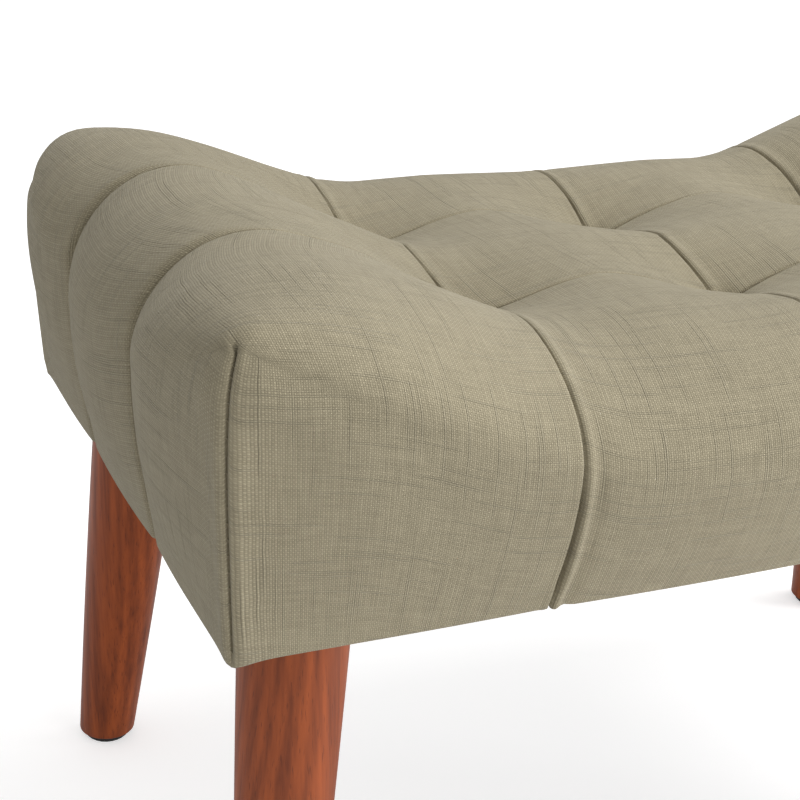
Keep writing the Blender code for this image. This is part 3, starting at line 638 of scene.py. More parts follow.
def blown_up(grid):
    """How far each point of a coarse cover moves when its cloth is put under pressure."""
    seat, bands, cap = grid.faces()
    points = grid.points()
    faces = list(seat) + list(bands.reshape(-1, 4)) + list(cap)
    piece = mesh_object("cover_cloth", points, faces, None)
    x, y, drop = grid.pattern()
    from_column = np.abs((x + HALF_LENGTH + SECTION_LONG / 2) % SECTION_LONG - SECTION_LONG / 2)
    from_row = np.abs((y + HALF_DEPTH + SECTION_DEEP / 2) % SECTION_DEEP - SECTION_DEEP / 2)
    from_corner = HALF_LENGTH - np.abs(x) + HALF_DEPTH - np.abs(y)
    hold = PLEAT_HOLD * bell(np.minimum(from_column, from_row), PLEAT_HOLD_WIDTH)
    hold = np.maximum(hold, bell(tuft_distance(x, y), TUFT_HOLD_WIDTH))
    hold = np.maximum(hold, bell(from_corner, CORNER_HOLD_WIDTH))
    hold = np.where(drop >= 1, 1.0, hold)
    pins = piece.vertex_groups.new(name="pins")
    for number, weight in enumerate(hold):
        pins.add([number], float(weight), "REPLACE")
    cloth = piece.modifiers.new("pressure", "CLOTH")
    settings = cloth.settings
    settings.quality = 6
    settings.mass = 0.2
    settings.tension_stiffness = 25.0
    settings.compression_stiffness = 12.0
    settings.shear_stiffness = 8.0
    settings.bending_stiffness = 0.8
    settings.use_pressure = True
    settings.uniform_pressure_force = CLOTH_PRESSURE
    settings.vertex_group_mass = "pins"
    settings.effector_weights.gravity = 0.0
    cloth.collision_settings.use_collision = False
    cloth.point_cache.frame_start = 1
    cloth.point_cache.frame_end = CLOTH_FRAMES
    for moment in range(1, CLOTH_FRAMES + 1):
        bpy.context.scene.frame_set(moment)
    shaped = piece.evaluated_get(bpy.context.evaluated_depsgraph_get())
    after = np.empty(len(points) * 3)
    shaped.data.vertices.foreach_get("co", after)
    bpy.context.scene.frame_set(1)
    mesh = piece.data
    bpy.data.objects.remove(piece)
    bpy.data.meshes.remove(mesh)
    moved = after.reshape(-1, 3) - points
    length = np.linalg.norm(moved, axis=1, keepdims=True)
    return moved * CLOTH_TRAVEL * np.tanh(length / CLOTH_TRAVEL) / np.maximum(length, 1e-9)


def settle(grid):
    """Moves a fine cover as the simulated cloth moved, point for point between the coarse rows."""
    along = stations(HALF_LENGTH, SECTIONS_LONG, END_SHOULDER, CLOTH_STEP, CLOTH_WIDEST)
    across = stations(HALF_DEPTH, SECTIONS_DEEP, FRONT_SHOULDER, CLOTH_STEP, CLOTH_WIDEST)
    coarse = CoverGrid(along, across, CLOTH_ROWS, CLOTH_FILL)
    moved = blown_up(coarse)
    size = len(along) * len(across)
    seat = moved[:size].reshape(len(along), len(across), 3)
    skirt = moved[size:-1].reshape(-1, len(coarse.rim), 3)
    rim = seat[coarse.rim[:, 0], coarse.rim[:, 1]]
    faces = np.concatenate([rim[None], skirt[:coarse.rows]])
    levels = np.arange(coarse.rows + 1) / coarse.rows
    wanted = np.arange(1, grid.rows + 1) / grid.rows
    faces = curve_values(faces, levels, wanted)
    fine = np.zeros((grid.rows, len(grid.rim), 3))
    for side, fine_side in zip(coarse.sides(), grid.sides()):
        run = coarse.rim_y
        fine_run = grid.rim_y
        if np.ptp(coarse.rim_x[side]) > 0:
            run = coarse.rim_x
            fine_run = grid.rim_x
        order = side[np.argsort(run[side])]
        part = curve_values(np.swapaxes(faces[:, order], 0, 1), run[order], fine_run[fine_side])
        fine[:, fine_side] = np.swapaxes(part, 0, 1)
    grid.skirt[:grid.rows] += fine
    seat = curve_values(seat, along, grid.along)
    grid.seat += np.swapaxes(curve_values(np.swapaxes(seat, 0, 1), across, grid.across), 0, 1)


def tufted_cover(material):
    """The linen cover: pillowed seat, pleated faces, corner darts and a hem turned under."""
    along = stations(HALF_LENGTH, SECTIONS_LONG, END_SHOULDER, FOLD_STEP, PILLOW_STEP)
    across = stations(HALF_DEPTH, SECTIONS_DEEP, FRONT_SHOULDER, FOLD_STEP, PILLOW_STEP)
    grid = CoverGrid(along, across, FACE_ROWS, CLOTH_FILL)
    settle(grid)
    seat, bands, cap = grid.faces()
    points = grid.points()
    faces = list(seat) + list(bands.reshape(-1, 4)) + list(cap)
    piece = mesh_object("tufted_cover", points, faces, material)
    mesh = piece.data
    normals = np.empty(len(points) * 3)
    mesh.vertices.foreach_get("normal", normals)
    x, y, drop = grid.pattern()
    points = points + normals.reshape(-1, 3) * fold_heights(x, y, drop)[:, None]
    mesh.vertices.foreach_set("co", points.ravel())

    seat_places, down_front, down_end = grid.cloth_places()
    on_end = grid.on_end[:, None]
    here = np.where(on_end, down_end, down_front)
    beside = np.where(on_end, np.roll(down_end, -1, axis=1), np.roll(down_front, -1, axis=1))
    corners = [seat_places[seat.ravel()]]
    for level in range(len(bands)):
        around = [here[level], here[level + 1], beside[level + 1], beside[level]]
        corners.append(np.stack(around, axis=1).reshape(-1, 2))
    corners.append(np.zeros((cap.size, 2)))
    threads = mesh.uv_layers.new(name="threads")
    threads.data.foreach_set("uv", np.concatenate(corners).ravel())
    mesh.update()
    return piece, grid, points


def cord(path, radius, sides=8):
    """Points and faces of a round cord along a path, closed at both ends."""
    path = np.asarray(path)
    ahead = np.gradient(path, axis=0)
    ahead = ahead / np.linalg.norm(ahead, axis=1, keepdims=True)
    helper = np.where(np.abs(ahead[:, [2]]) > 0.8, [[1.0, 0.0, 0.0]], [[0.0, 0.0, 1.0]])
    side = np.cross(ahead, helper)
    side = side / np.linalg.norm(side, axis=1, keepdims=True)
    other = np.cross(ahead, side)
    turn = 2 * np.pi * np.arange(sides) / sides
    ring = np.cos(turn)[None, :, None] * side[:, None] + np.sin(turn)[None, :, None] * other[:, None]
    points = (path[:, None] + radius * ring).reshape(-1, 3)
    faces = [tuple(reversed(range(sides))), tuple(range((len(path) - 1) * sides, len(path) * sides))]
    for k in range(len(path) - 1):
        for c in range(sides):
            d = (c + 1) % sides
            faces.append((k * sides + c, k * sides + d, (k + 1) * sides + d, (k + 1) * sides + c))
    return points, faces


def joined_object(name, parts, material, smooth=True):
    """One object from several parts, each given by its points and faces."""
    points = []
    faces = []
    for part_points, part_faces in parts:
        faces += [tuple(len(points) + c for c in face) for face in part_faces]
        points += list(part_points)
    return mesh_object(name, points, faces, material, smooth)


def corner_stitches(grid, points, material):
    """Hand-sewn ladder stitches that close the four corner seams."""
    cords = []
    count = len(grid.rim)
    start = len(grid.along) * len(grid.across)
    skirt = points[start:start + grid.rows * count].reshape(grid.rows, count, 3)
    for side in grid.sides():
        corner = side[0]
        for row in range(1, grid.rows - 1, 2):
            left = skirt[row, (corner - STITCH_COLUMNS) % count]
            right = skirt[row + 1, (corner + STITCH_COLUMNS) % count]
            groove = (skirt[row, corner] + skirt[row + 1, corner]) / 2
            out = np.array([np.sign(groove[0]), np.sign(groove[1]), 0.0]) / np.sqrt(2)
            bite = out * STITCH_BITE
            middle = groove + out * STITCH_RISE
            cords.append(cord([left - bite, left, middle, right, right - bite], STITCH_RADIUS, 6))
    return joined_object("corner_stitches", cords, material)


def tuft_twine(name, x, y, pit, material):
    """Two-ply twine from a tuft's blind stitch down to its knot under the deck."""
    foot = np.array([x, y, TWINE_FOOT])
    turns = np.linspace(0, 2 * np.pi * (pit[2] - TWINE_FOOT) / TWINE_LAY, TWINE_STEPS)
    share = np.linspace(0, 1, TWINE_STEPS)[:, None]
    core = foot + (np.asarray(pit) - foot) * share
    cords = []
    for phase in (0.0, np.pi):
        twist = np.stack([np.cos(turns + phase), np.sin(turns + phase), 0 * turns], axis=-1)
        cords.append(cord(core + PLY_OFFSET * twist, PLY_RADIUS))
    coil = np.linspace(0, 2 * np.pi * KNOT_TURNS, 40)
    sink = KNOT_DROP + KNOT_PITCH * coil / (2 * np.pi)
    knot = np.stack([KNOT_RADIUS * np.cos(coil), KNOT_RADIUS * np.sin(coil), -sink], axis=-1)
    cords.append(cord(foot + knot, KNOT_CORD_RADIUS))
    return joined_object("tuft_twine_" + name, cords, material)


# Materials


def add_node(tree, kind, inputs=None, **settings):
    """One node with its settings; an input is a value or the socket that feeds it."""
    node = tree.nodes.new(kind)
    for name, value in settings.items():
        setattr(node, name, value)
    for name, value in (inputs or {}).items():
        if isinstance(value, bpy.types.NodeSocket):
            tree.links.new(value, node.inputs[name])
        else:
            node.inputs[name].default_value = value
    return node


def calc(tree, operation, first, second=0.0):
    return add_node(tree, "ShaderNodeMath", {0: first, 1: second}, operation=operation).outputs[0]


def plus(tree, first, second):
    return calc(tree, "ADD", first, second)


def times(tree, first, second):
    return calc(tree, "MULTIPLY", first, second)


def spread(tree, value, low, high, to_low=0.0, to_high=1.0):
    """The value's range from low to high, stretched and clamped to a new range."""
    inputs = {"Value": value, "From Min": low, "From Max": high, "To Min": to_low, "To Max": to_high}
    return add_node(tree, "ShaderNodeMapRange", inputs).outputs["Result"]


def noise(tree, place, scale, detail=2.0, roughness=0.5, stretch=(1, 1, 1)):
    """Noise over a place whose axes are first stretched."""
    mapping = add_node(tree, "ShaderNodeMapping", {"Vector": place, "Scale": stretch})
    inputs = {"Vector": mapping.outputs["Vector"], "Scale": scale, "Detail": detail, "Roughness": roughness}
    return add_node(tree, "ShaderNodeTexNoise", inputs).outputs["Fac"]


def new_group(name, inputs, outputs):
    """A shader node group with named sockets: value inputs with defaults, and value outputs."""
    tree = bpy.data.node_groups.new(name, "ShaderNodeTree")
    for label, kind, default in inputs:
        socket = tree.interface.new_socket(label, in_out="INPUT", socket_type=kind)
        if default is not None:
            socket.default_value = default
    for label in outputs:
        tree.interface.new_socket(label, in_out="OUTPUT", socket_type="NodeSocketFloat")
    source = tree.nodes.new("NodeGroupInput").outputs
    target = tree.nodes.new("NodeGroupOutput").inputs
    return tree, source, target


def thread_noise(tree, thread, run, seed, detail=0.0):
    """Noise that differs from thread to thread and drifts along each one."""
    inputs = {"X": times(tree, thread, 5.3), "Y": run, "Z": seed}
    place = add_node(tree, "ShaderNodeCombineXYZ", inputs).outputs["Vector"]
    inputs = {"Vector": place, "Scale": 1.0, "Detail": detail}
    return add_node(tree, "ShaderNodeTexNoise", inputs).outputs["Fac"]


def total(tree, *weighted):
    """The weighted sum of several sockets."""
    value = times(tree, *weighted[0])
    for socket, weight in weighted[1:]:
        value = plus(tree, value, times(tree, socket, weight))
    return value


def linen_weave_group():
    """Plain weave of uneven threads: height for the bump; tone and slubs for the colour, the tone with
    painted shade in the gaps between the threads and beside each raised slub.
    """
    tree, source, target = new_group(
        "linen_weave",
        [
            ("Cloth", "NodeSocketVector", None),
            ("Warp Width", "NodeSocketFloat", WARP_WIDTH),
            ("Weft Width", "NodeSocketFloat", WEFT_WIDTH),
        ],
        ["Height", "Tone And Shade", "Slub"],
    )
    cloth = source["Cloth"]
    place = add_node(tree, "ShaderNodeSeparateXYZ", {"Vector": cloth}).outputs
    drift_u = times(tree, noise(tree, cloth, 38.0, 2.0), 0.0016)
    drift_v = times(tree, noise(tree, cloth, 31.0, 2.0, stretch=(1, 1.3, 1)), 0.0016)
    u = calc(tree, "DIVIDE", plus(tree, place["X"], drift_u), source["Warp Width"])
    v = calc(tree, "DIVIDE", plus(tree, place["Y"], drift_v), source["Weft Width"])
    warp = calc(tree, "FLOOR", u)
    weft = calc(tree, "FLOOR", v)
    across_warp = calc(tree, "SINE", times(tree, calc(tree, "FRACT", u), np.pi))
    across_weft = calc(tree, "SINE", times(tree, calc(tree, "FRACT", v), np.pi))
    warp_on_top = calc(tree, "FLOORED_MODULO", plus(tree, warp, weft), 2.0)
    crossing = times(tree, across_warp, across_weft)
    hump = times(tree, crossing, spread(tree, warp_on_top, 0, 1, 0.45, 1.0))

    bodies = []
    slubs = []
    edges = []
    for thread, across, run, body_seed, slub_run, slub_seed in (
        (warp, across_warp, place["Y"], 1.7, 10.0, 8.1),
        (weft, across_weft, place["X"], 4.2, 14.0, 6.4),
    ):
        bodies.append(thread_noise(tree, thread, times(tree, run, 55.0), body_seed, 1.0))
        slub = thread_noise(tree, thread, times(tree, run, slub_run), slub_seed)
        slub = spread(tree, slub, 0.67, 0.74)
        slubs.append(times(tree, slub, across))
        # The sides of a slub thread: a dip in the height, and painted shade in the tone.
        edges.append(times(tree, slub, calc(tree, "SUBTRACT", 1.0, across)))
    bodies = plus(tree, *bodies)
    thick = calc(tree, "MAXIMUM", *slubs)
    edge = calc(tree, "MAXIMUM", *edges)
    broad = noise(tree, cloth, 9.0, 3.0)
    pair = calc(tree, "FLOORED_MODULO", warp, 2.0)
    height = total(tree, (hump, 0.55), (bodies, 0.30), (thick, 0.60), (edge, -0.34), (pair, 0.08))
    tree.links.new(height, target["Height"])
    # Painted shade in the tone: the thread crowns (hump) lighter than the gaps between threads, and the
    # sides of raised slubs (edge) darker; bodies, broad and pair are the threads' own tone.
    tone = total(tree, (hump, 0.58), (bodies, 0.42), (broad, 0.22), (edge, -0.38), (pair, 0.08))
    tree.links.new(calc(tree, "SUBTRACT", tone, 0.28), target["Tone And Shade"])
    tree.links.new(thick, target["Slub"])
    return tree


def wood_grain_group():
    """Growth rings cut lengthwise, streaks along them and fine pores."""
    tree, source, target = new_group(
        "wood_grain",
        [
            ("Place", "NodeSocketVector", None),
            ("Ring Width", "NodeSocketFloat", 0.006),
            ("Wander", "NodeSocketFloat", 0.010),
        ],
        ["Rings", "Streaks", "Pores"],
    )
    place = source["Place"]
    drift = noise(tree, place, 9.0, 3.0, stretch=(1.6, 1.6, 0.35))
    drift = times(tree, calc(tree, "SUBTRACT", drift, 0.5), source["Wander"])
    axes = add_node(tree, "ShaderNodeSeparateXYZ", {"Vector": place}).outputs
    off_x = plus(tree, plus(tree, axes["X"], 0.027), drift)
    lean = times(tree, axes["Z"], 0.05)
    off_y = plus(tree, plus(tree, axes["Y"], 0.013), lean)
    squares = plus(tree, times(tree, off_x, off_x), times(tree, off_y, off_y))
    ring = calc(tree, "DIVIDE", calc(tree, "SQRT", squares), source["Ring Width"])
    wave = calc(tree, "SINE", times(tree, ring, 2 * np.pi))
    tree.links.new(spread(tree, wave, -1.0, 1.0), target["Rings"])
    wide = noise(tree, place, 1.0, 3.0, 0.6, stretch=(70, 70, 4))
    narrow = noise(tree, place, 1.0, 2.0, 0.5, stretch=(420, 420, 13))
    tree.links.new(spread(tree, total(tree, (wide, 0.5), (narrow, 0.5)), 0.32, 0.68), target["Streaks"])
    pores = noise(tree, place, 1.0, 1.0, stretch=(1100, 1100, 60))
    tree.links.new(spread(tree, pores, 0.62, 0.74), target["Pores"])
    return tree


def new_material(name):
    """An empty material with its shader: returns the material, its tree and the shader's inputs."""
    material = bpy.data.materials.new(name)
    material.use_nodes = True
    tree = material.node_tree
    return material, tree, tree.nodes["Principled BSDF"].inputs


def blend_colour(tree, share, first, second):
    node = add_node(tree, "ShaderNodeMix", data_type="RGBA")
    tree.links.new(share, node.inputs["Factor"])
    for socket, colour in ((node.inputs[6], first), (node.inputs[7], second)):
        if isinstance(colour, bpy.types.NodeSocket):
            tree.links.new(colour, socket)
        else:
            socket.default_value = (*colour, 1.0)
    return node.outputs[2]


def bump(tree, shader, height, distance, strength=1.0):
    inputs = {"Height": height, "Distance": distance, "Strength": strength}
    tree.links.new(add_node(tree, "ShaderNodeBump", inputs).outputs["Normal"], shader["Normal"])


def linen_material(weave):
    material, tree, shader = new_material("greige_linen")
    cloth = add_node(tree, "ShaderNodeUVMap", uv_map="threads").outputs["UV"]
    threads = add_node(tree, "ShaderNodeGroup", {"Cloth": cloth}, node_tree=weave).outputs
    # From the dark to the light linen colour by the weave's tone, painted shade between the threads and
    # beside the slubs included.
    plain = blend_colour(tree, threads["Tone And Shade"], (0.205, 0.178, 0.117), (0.432, 0.380, 0.261))
    # Slub threads are coloured lighter along their raised crowns: partly a paler thread, partly a painted
    # highlight.
    slubbed = times(tree, threads["Slub"], 0.18)
    tree.links.new(blend_colour(tree, slubbed, plain, (0.46, 0.41, 0.288)), shader["Base Color"])
    shader["Roughness"].default_value = 0.92
    shader["Specular IOR Level"].default_value = 0.2
    shader["Sheen Weight"].default_value = 0.15
    shader["Sheen Roughness"].default_value = 0.5
    bump(tree, shader, threads["Height"], 0.0011, 0.55)
    return material


def wood_material(name, grain, axes, ring_width, wander, light, dark, pore, roughness, coat):
    """Timber whose grain runs along the last of the three axes; the lacquered legs get a coat."""
    material, tree, shader = new_material(name)
    place = add_node(tree, "ShaderNodeTexCoord").outputs["Object"]
    sides = add_node(tree, "ShaderNodeSeparateXYZ", {"Vector": place}).outputs
    turned = {to: sides[axis] for to, axis in zip("XYZ", axes)}
    place = add_node(tree, "ShaderNodeCombineXYZ", turned).outputs["Vector"]
    inputs = {"Place": place, "Ring Width": ring_width, "Wander": wander}
    figure = add_node(tree, "ShaderNodeGroup", inputs, node_tree=grain).outputs
    shade = total(tree, (figure["Rings"], 0.34), (figure["Streaks"], 0.66))
    body = blend_colour(tree, shade, light, dark)
    flecked = times(tree, figure["Pores"], 0.45)
    tree.links.new(blend_colour(tree, flecked, body, pore), shader["Base Color"])
    rough = spread(tree, figure["Streaks"], 0.0, 1.0, roughness - 0.05, roughness + 0.07)
    tree.links.new(rough, shader["Roughness"])
    shader["Specular IOR Level"].default_value = 0.3
    shader["Coat Weight"].default_value = coat
    shader["Coat Roughness"].default_value = 0.25
    bump(tree, shader, figure["Pores"], -0.0001, 0.5)
    return material


def speckled_material(name, light, dark, scale, roughness, metallic, depth):
    """Plastic, zinc, twine or non-woven cloth: mottled colour and gloss with a fine grain."""
    material, tree, shader = new_material(name)
    place = add_node(tree, "ShaderNodeTexCoord").outputs["Object"]
    mottle = noise(tree, place, scale, 4.0, 0.6)
    tree.links.new(blend_colour(tree, spread(tree, mottle, 0.3, 0.7), light, dark), shader["Base Color"])
    tree.links.new(spread(tree, mottle, 0.3, 0.7, roughness - 0.06, roughness + 0.06), shader["Roughness"])
    shader["Metallic"].default_value = metallic
    bump(tree, shader, mottle, depth)
    return material


# Legs


def leg_ring(side_x, side_y, height, radius):
    """A level slice of the splayed leg."""
    lean_x = side_x * LEG_SPLAY[0]
    lean_y = side_y * LEG_SPLAY[1]
    heading = np.arctan2(lean_y, lean_x)
    turn = 2 * np.pi * np.arange(LEG_SIDES) / LEG_SIDES
    lengthwise = radius * np.sqrt(1 + lean_x**2 + lean_y**2) * np.cos(turn - heading)
    crosswise = radius * np.sin(turn - heading)
    below = LEG_TOP - height
    x = side_x * LEG_X + below * lean_x + lengthwise * np.cos(heading) - crosswise * np.sin(heading)
    y = side_y * LEG_Y + below * lean_y + lengthwise * np.sin(heading) + crosswise * np.cos(heading)
    return np.stack([x, y, np.full(LEG_SIDES, height)], axis=-1)


def leg_radius(height):
    share = (LEG_TOP - height) / (LEG_TOP - LEG_BOTTOM)
    straight = LEG_TOP_RADIUS * (1 - share) + LEG_FOOT_RADIUS * share
    return straight + LEG_SWELL * np.sin(np.pi * share)


def bore_ring(side_x, side_y, height, at_height, radius):
    """A level circle for a bore, centred where the leg's axis passes at_height."""
    centre = leg_ring(side_x, side_y, at_height, 0.0)[0]
    turn = 2 * np.pi * np.arange(LEG_SIDES) / LEG_SIDES
    ring = np.stack([centre[0] + radius * np.cos(turn), centre[1] + radius * np.sin(turn)], axis=-1)
    return np.concatenate([ring, np.full((LEG_SIDES, 1), height)], axis=1)


def turned_leg(name, side_x, side_y, material):
    """One turned leg with eased rims, bored for its bolt and its glide's pin."""
    turns = np.linspace(0, np.pi / 2, LEG_EDGE_RINGS)
    ease_in = LEG_EDGE * (1 - np.sin(turns))
    ease_down = LEG_EDGE * (1 - np.cos(turns))
    plain = np.linspace(LEG_TOP - LEG_EDGE, LEG_BOTTOM + LEG_EDGE, LEG_RINGS)[1:-1]
    heights = np.concatenate([LEG_TOP - ease_down, plain, LEG_BOTTOM + ease_down[::-1]])
    insets = np.concatenate([ease_in, np.zeros(len(plain)), ease_in[::-1]])
    rings = [
        bore_ring(side_x, side_y, LEG_TOP - BOLT_DEPTH, LEG_TOP, BOLT_BORE),
        bore_ring(side_x, side_y, LEG_TOP, LEG_TOP, BOLT_BORE),
    ]
    for height, inset in zip(heights, insets):
        rings.append(leg_ring(side_x, side_y, height, leg_radius(height) - inset))
    rings.append(bore_ring(side_x, side_y, LEG_BOTTOM, LEG_BOTTOM, PIN_BORE))
    rings.append(bore_ring(side_x, side_y, LEG_BOTTOM + PIN_DEPTH, LEG_BOTTOM, PIN_BORE))
    count = len(rings)
    side = np.arange(LEG_SIDES)
    after = (side + 1) % LEG_SIDES
    faces = [tuple(range(LEG_SIDES))]
    for k in range(count - 1):
        near = k * LEG_SIDES
        far = near + LEG_SIDES
        faces += list(np.stack([near + side, far + side, far + after, near + after], axis=-1))
    faces.append(tuple(reversed(range((count - 1) * LEG_SIDES, count * LEG_SIDES))))
    top = Vector((side_x * LEG_X, side_y * LEG_Y, LEG_TOP))
    piece = mesh_object("turned_leg_" + name, np.concatenate(rings) - np.array(top), faces, material)
    piece.location = top
    piece.data.set_sharp_from_angle(angle=LEG_SHARP_ANGLE)
    return piece


# Dust cover


def dust_places(half, cells):
    """Places across the dust cover: its two edges, and even steps between its stapled hems."""
    inner = half - DUST_HEM
    return np.concatenate([[-half], np.linspace(-inner, inner, cells), [half]])


def dust_cloth(material):
    """A thin non-woven sheet, held flat at its stapled hems and round the legs, slack between."""
    x = dust_places(DUST_HALF[0], DUST_CELLS[0])
    y = dust_places(DUST_HALF[1], DUST_CELLS[1])
    grid_x, grid_y = np.meshgrid(x, y, indexing="ij")
    from_leg = np.hypot(np.abs(grid_x) - LEG_X, np.abs(grid_y) - LEG_Y)
    free = smooth_step((from_leg - DUST_LEG_CLEAR) / DUST_LEG_RUN)
    edge_x = smooth_step((DUST_HALF[0] - DUST_HEM - np.abs(grid_x)) / DUST_EDGE_RUN)
    edge_y = smooth_step((DUST_HALF[1] - DUST_HEM - np.abs(grid_y)) / DUST_EDGE_RUN)
    ripple = np.sin(31 * grid_x + 2.2 * np.sin(17 * grid_y)) * np.sin(23 * grid_y + 1.3)
    slack = DUST_SAG * (0.8 + 0.2 * ripple) * edge_x * edge_y * free
    under = DUST_UNDERSIDE - slack
    over = under + DUST_THICKNESS
    wide = len(y)
    size = grid_x.size
    points = np.concatenate([
        np.stack([grid_x, grid_y, under], axis=-1).reshape(-1, 3),
        np.stack([grid_x, grid_y, over], axis=-1).reshape(-1, 3),
    ])
    below = grid_faces(len(x), wide)[:, [0, 3, 2, 1]]
    above = below[:, ::-1] + size
    loop = [k * wide for k in range(len(x))]
    loop += [(len(x) - 1) * wide + k for k in range(1, wide)]
    loop += [k * wide + wide - 1 for k in range(len(x) - 2, -1, -1)]
    loop += [k for k in range(wide - 2, 0, -1)]
    edge = [(a, b, b + size, a + size) for a, b in zip(loop, loop[1:] + loop[:1])]
    return mesh_object("dust_cloth", points, list(below) + list(above) + edge, material)


def swept_wire(path, across, half_width, half_height):
    """Points and faces of a flat wire along a path; across is the wire's width direction."""
    points = []
    faces = []
    path = [Vector(p) for p in path]
    for k, place in enumerate(path):
        ahead = path[min(k + 1, len(path) - 1)] - path[max(k - 1, 0)]
        side = Vector(across).normalized() * half_width
        rise = ahead.cross(side).normalized() * half_height
        points += [place + side + rise, place - side + rise, place - side - rise, place + side - rise]
    for k in range(len(path) - 1):
        near = 4 * k
        for c in range(4):
            d = (c + 1) % 4
            faces.append((near + c, near + d, near + 4 + d, near + 4 + c))
    last = 4 * (len(path) - 1)
    faces.append((3, 2, 1, 0))
    faces.append((last, last + 1, last + 2, last + 3))
    return points, faces


def staples(material):
    """Wire staples that hold the dust cover to the rails."""
    places = []
    inset = DUST_HEM / 2
    half_x = DUST_HALF[0] - inset
    half_y = DUST_HALF[1] - inset
    count_x = round(2 * half_x / STAPLE_PITCH)
    count_y = round(2 * half_y / STAPLE_PITCH)
    for k in range(1, count_x):
        x = -half_x + 2 * half_x * k / count_x
        places += [(x, -half_y, 1, 0), (x, half_y, 1, 0)]
    for k in range(1, count_y):
        y = -half_y + 2 * half_y * k / count_y
        places += [(-half_x, y, 0, 1), (half_x, y, 0, 1)]
    wires = []
    outline = [(STAPLE_HALF - STAPLE_BEND, 0.0), (STAPLE_HALF - STAPLE_BEND / 6, 0.35), (STAPLE_HALF, 1.0)]
    outline = [(-along, rise) for along, rise in reversed(outline)] + outline
    for number, (x, y, run_x, run_y) in enumerate(places):
        tilt = STAPLE_TILT * np.sin(7.3 * number)
        heading = Vector((run_x - tilt * run_y, run_y + tilt * run_x, 0)).normalized()
        crown = Vector((x, y, DUST_UNDERSIDE - STAPLE_PROUD))
        path = [crown + heading * along + Vector((0, 0, STAPLE_RISE * rise)) for along, rise in outline]
        across = Vector((-heading.y, heading.x, 0))
        wires.append(swept_wire(path, across, WIRE_HALF_WIDTH, WIRE_HALF_HEIGHT))
    return joined_object("dust_cloth_staples", wires, material, smooth=False)


# Stage


def studio():
    """Pale floor, white surround and soft light from above, the front and the right."""
    world = bpy.data.worlds.new("studio_white")
    bpy.context.scene.world = world
    world.use_nodes = True
    tree = world.node_tree
    surround = tree.nodes["Background"]
    path = add_node(tree, "ShaderNodeLightPath").outputs
    mirrored = calc(tree, "MAXIMUM", path["Is Glossy Ray"], path["Is Transmission Ray"])
    seen = calc(tree, "MAXIMUM", path["Is Camera Ray"], mirrored)
    surround.inputs["Color"].default_value = (1, 1, 1, 1)
    tree.links.new(spread(tree, seen, 0.0, 1.0, SURROUND_LIGHT, 1.0), surround.inputs["Strength"])

    material, tree, shader = new_material("studio_floor")
    shader["Base Color"].default_value = (0.80, 0.80, 0.80, 1)
    shader["Roughness"].default_value = 0.9
    path = add_node(tree, "ShaderNodeLightPath").outputs
    shader["Emission Color"].default_value = (1, 1, 1, 1)
    tree.links.new(times(tree, path["Is Camera Ray"], FLOOR_GLOW), shader["Emission Strength"])
    corners = [(side_x * FLOOR_REACH, side_y * FLOOR_REACH, 0) for _, side_x, side_y in CORNERS]
    floor = mesh_object("floor", corners, [(0, 1, 3, 2)], material)

    for name, place, aim, size, power in SOFTBOXES:
        lamp = bpy.data.lights.new(name, "AREA")
        lamp.size = size
        lamp.energy = power
        light = bpy.data.objects.new(name, lamp)
        bpy.context.scene.collection.objects.link(light)
        light.location = place
        light.rotation_euler = (Vector(aim) - Vector(place)).to_track_quat("-Z", "Y").to_euler()


def photo_camera():
    """The camera found by fitting the photograph's corners, pleats and legs."""
    towards = Vector((np.sin(CAMERA_YAW), np.cos(CAMERA_YAW), 0))
    ahead = towards * np.cos(CAMERA_PITCH) - Vector((0, 0, np.sin(CAMERA_PITCH)))
    level = Vector((towards.y, -towards.x, 0))
    above = level.cross(ahead)
    right = level * np.cos(CAMERA_ROLL) + above * np.sin(CAMERA_ROLL)
    up = above * np.cos(CAMERA_ROLL) - level * np.sin(CAMERA_ROLL)
    camera = bpy.data.objects.new("photo_camera", bpy.data.cameras.new("photo_camera"))
    bpy.context.scene.collection.objects.link(camera)
    facing = Matrix((right, up, -ahead)).transposed().to_4x4()
    camera.matrix_world = Matrix.Translation(CAMERA_PLACE) @ facing
    camera.data.sensor_width = CAMERA_SENSOR
    camera.data.lens = CAMERA_LENS
    bpy.context.scene.camera = camera


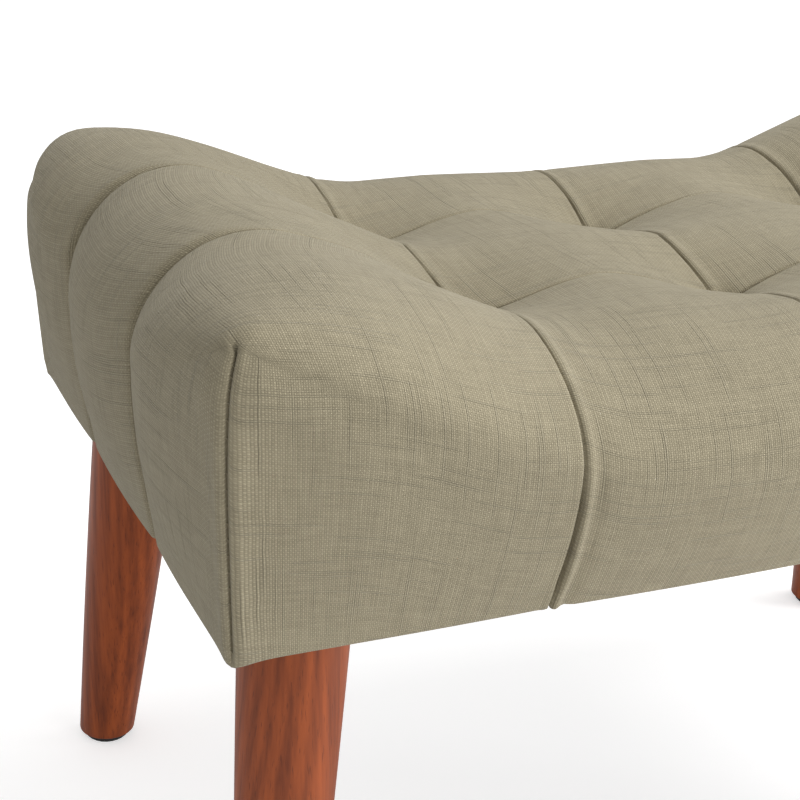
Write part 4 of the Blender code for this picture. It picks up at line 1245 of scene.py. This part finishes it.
bpy.context.scene.view_settings.view_transform = "Standard"
weave = linen_weave_group()
grain = wood_grain_group()
linen = linen_material(weave)
stained = wood_material("stained_leg_wood", grain, "XYZ", *LEG_LOOK)
pine_across = wood_material("planed_pine_across", grain, "ZXY", *PINE_LOOK)
speckled = {name: speckled_material(name, *look) for name, look in SPECKLED_LOOKS.items()}
finishes = {
    "linen": linen,
    "foam": speckled["open_cell_foam"],
    "pine": wood_material("planed_pine", grain, "YZX", *PINE_LOOK),
    "plywood": wood_material("plywood", grain, "YZX", *PLYWOOD_LOOK),
    "leg_wood": stained,
    "zinc_steel": speckled["zinc_plate"],
    "black_plastic": speckled["black_plastic"],
    "dust_cloth": speckled["non_woven_black"],
    "twine": speckled["waxed_twine"],
}
for subpart in frame["record"]["subparts"]:
    node = frame["nodes"][subpart["node"]]
    node.data.materials.clear()
    node.data.materials.append(finishes[subpart["material_slot"]])
for name in ("rail_left", "rail_right", "cross_batten_1", "cross_batten_2"):
    frame["nodes"][name].data.materials[0] = pine_across

cover, cover_grid, cover_points = tufted_cover(linen)
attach(cover, "root")
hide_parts("fabric_cover", "seat_foam", "end_foam_left", "end_foam_right")

seams = corner_stitches(cover_grid, cover_points, speckled["linen_thread"])
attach(seams, "root")
for row in range(1, SECTIONS_DEEP):
    for column in range(1, SECTIONS_LONG):
        x = column * SECTION_LONG - HALF_LENGTH
        y = row * SECTION_DEEP - HALF_DEPTH
        i = np.argmin(np.abs(cover_grid.along - x))
        j = np.argmin(np.abs(cover_grid.across - y))
        pit = cover_points[i * len(cover_grid.across) + j] - [0, 0, PIT_CLEARANCE]
        number = "%d_%d" % (row, column)
        tie = tuft_twine(number, x, y, pit, finishes["twine"])
        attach(tie, "root")
        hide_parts("tuft_tie_" + number)

for corner in CORNERS:
    leg = turned_leg(*corner, stained)
    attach(leg, "root")
    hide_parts("leg_" + corner[0])

dust = dust_cloth(finishes["dust_cloth"])
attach(dust, "root")
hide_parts("dust_cover")
tacks = staples(finishes["zinc_steel"])
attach(tacks, "root")

studio()
photo_camera()
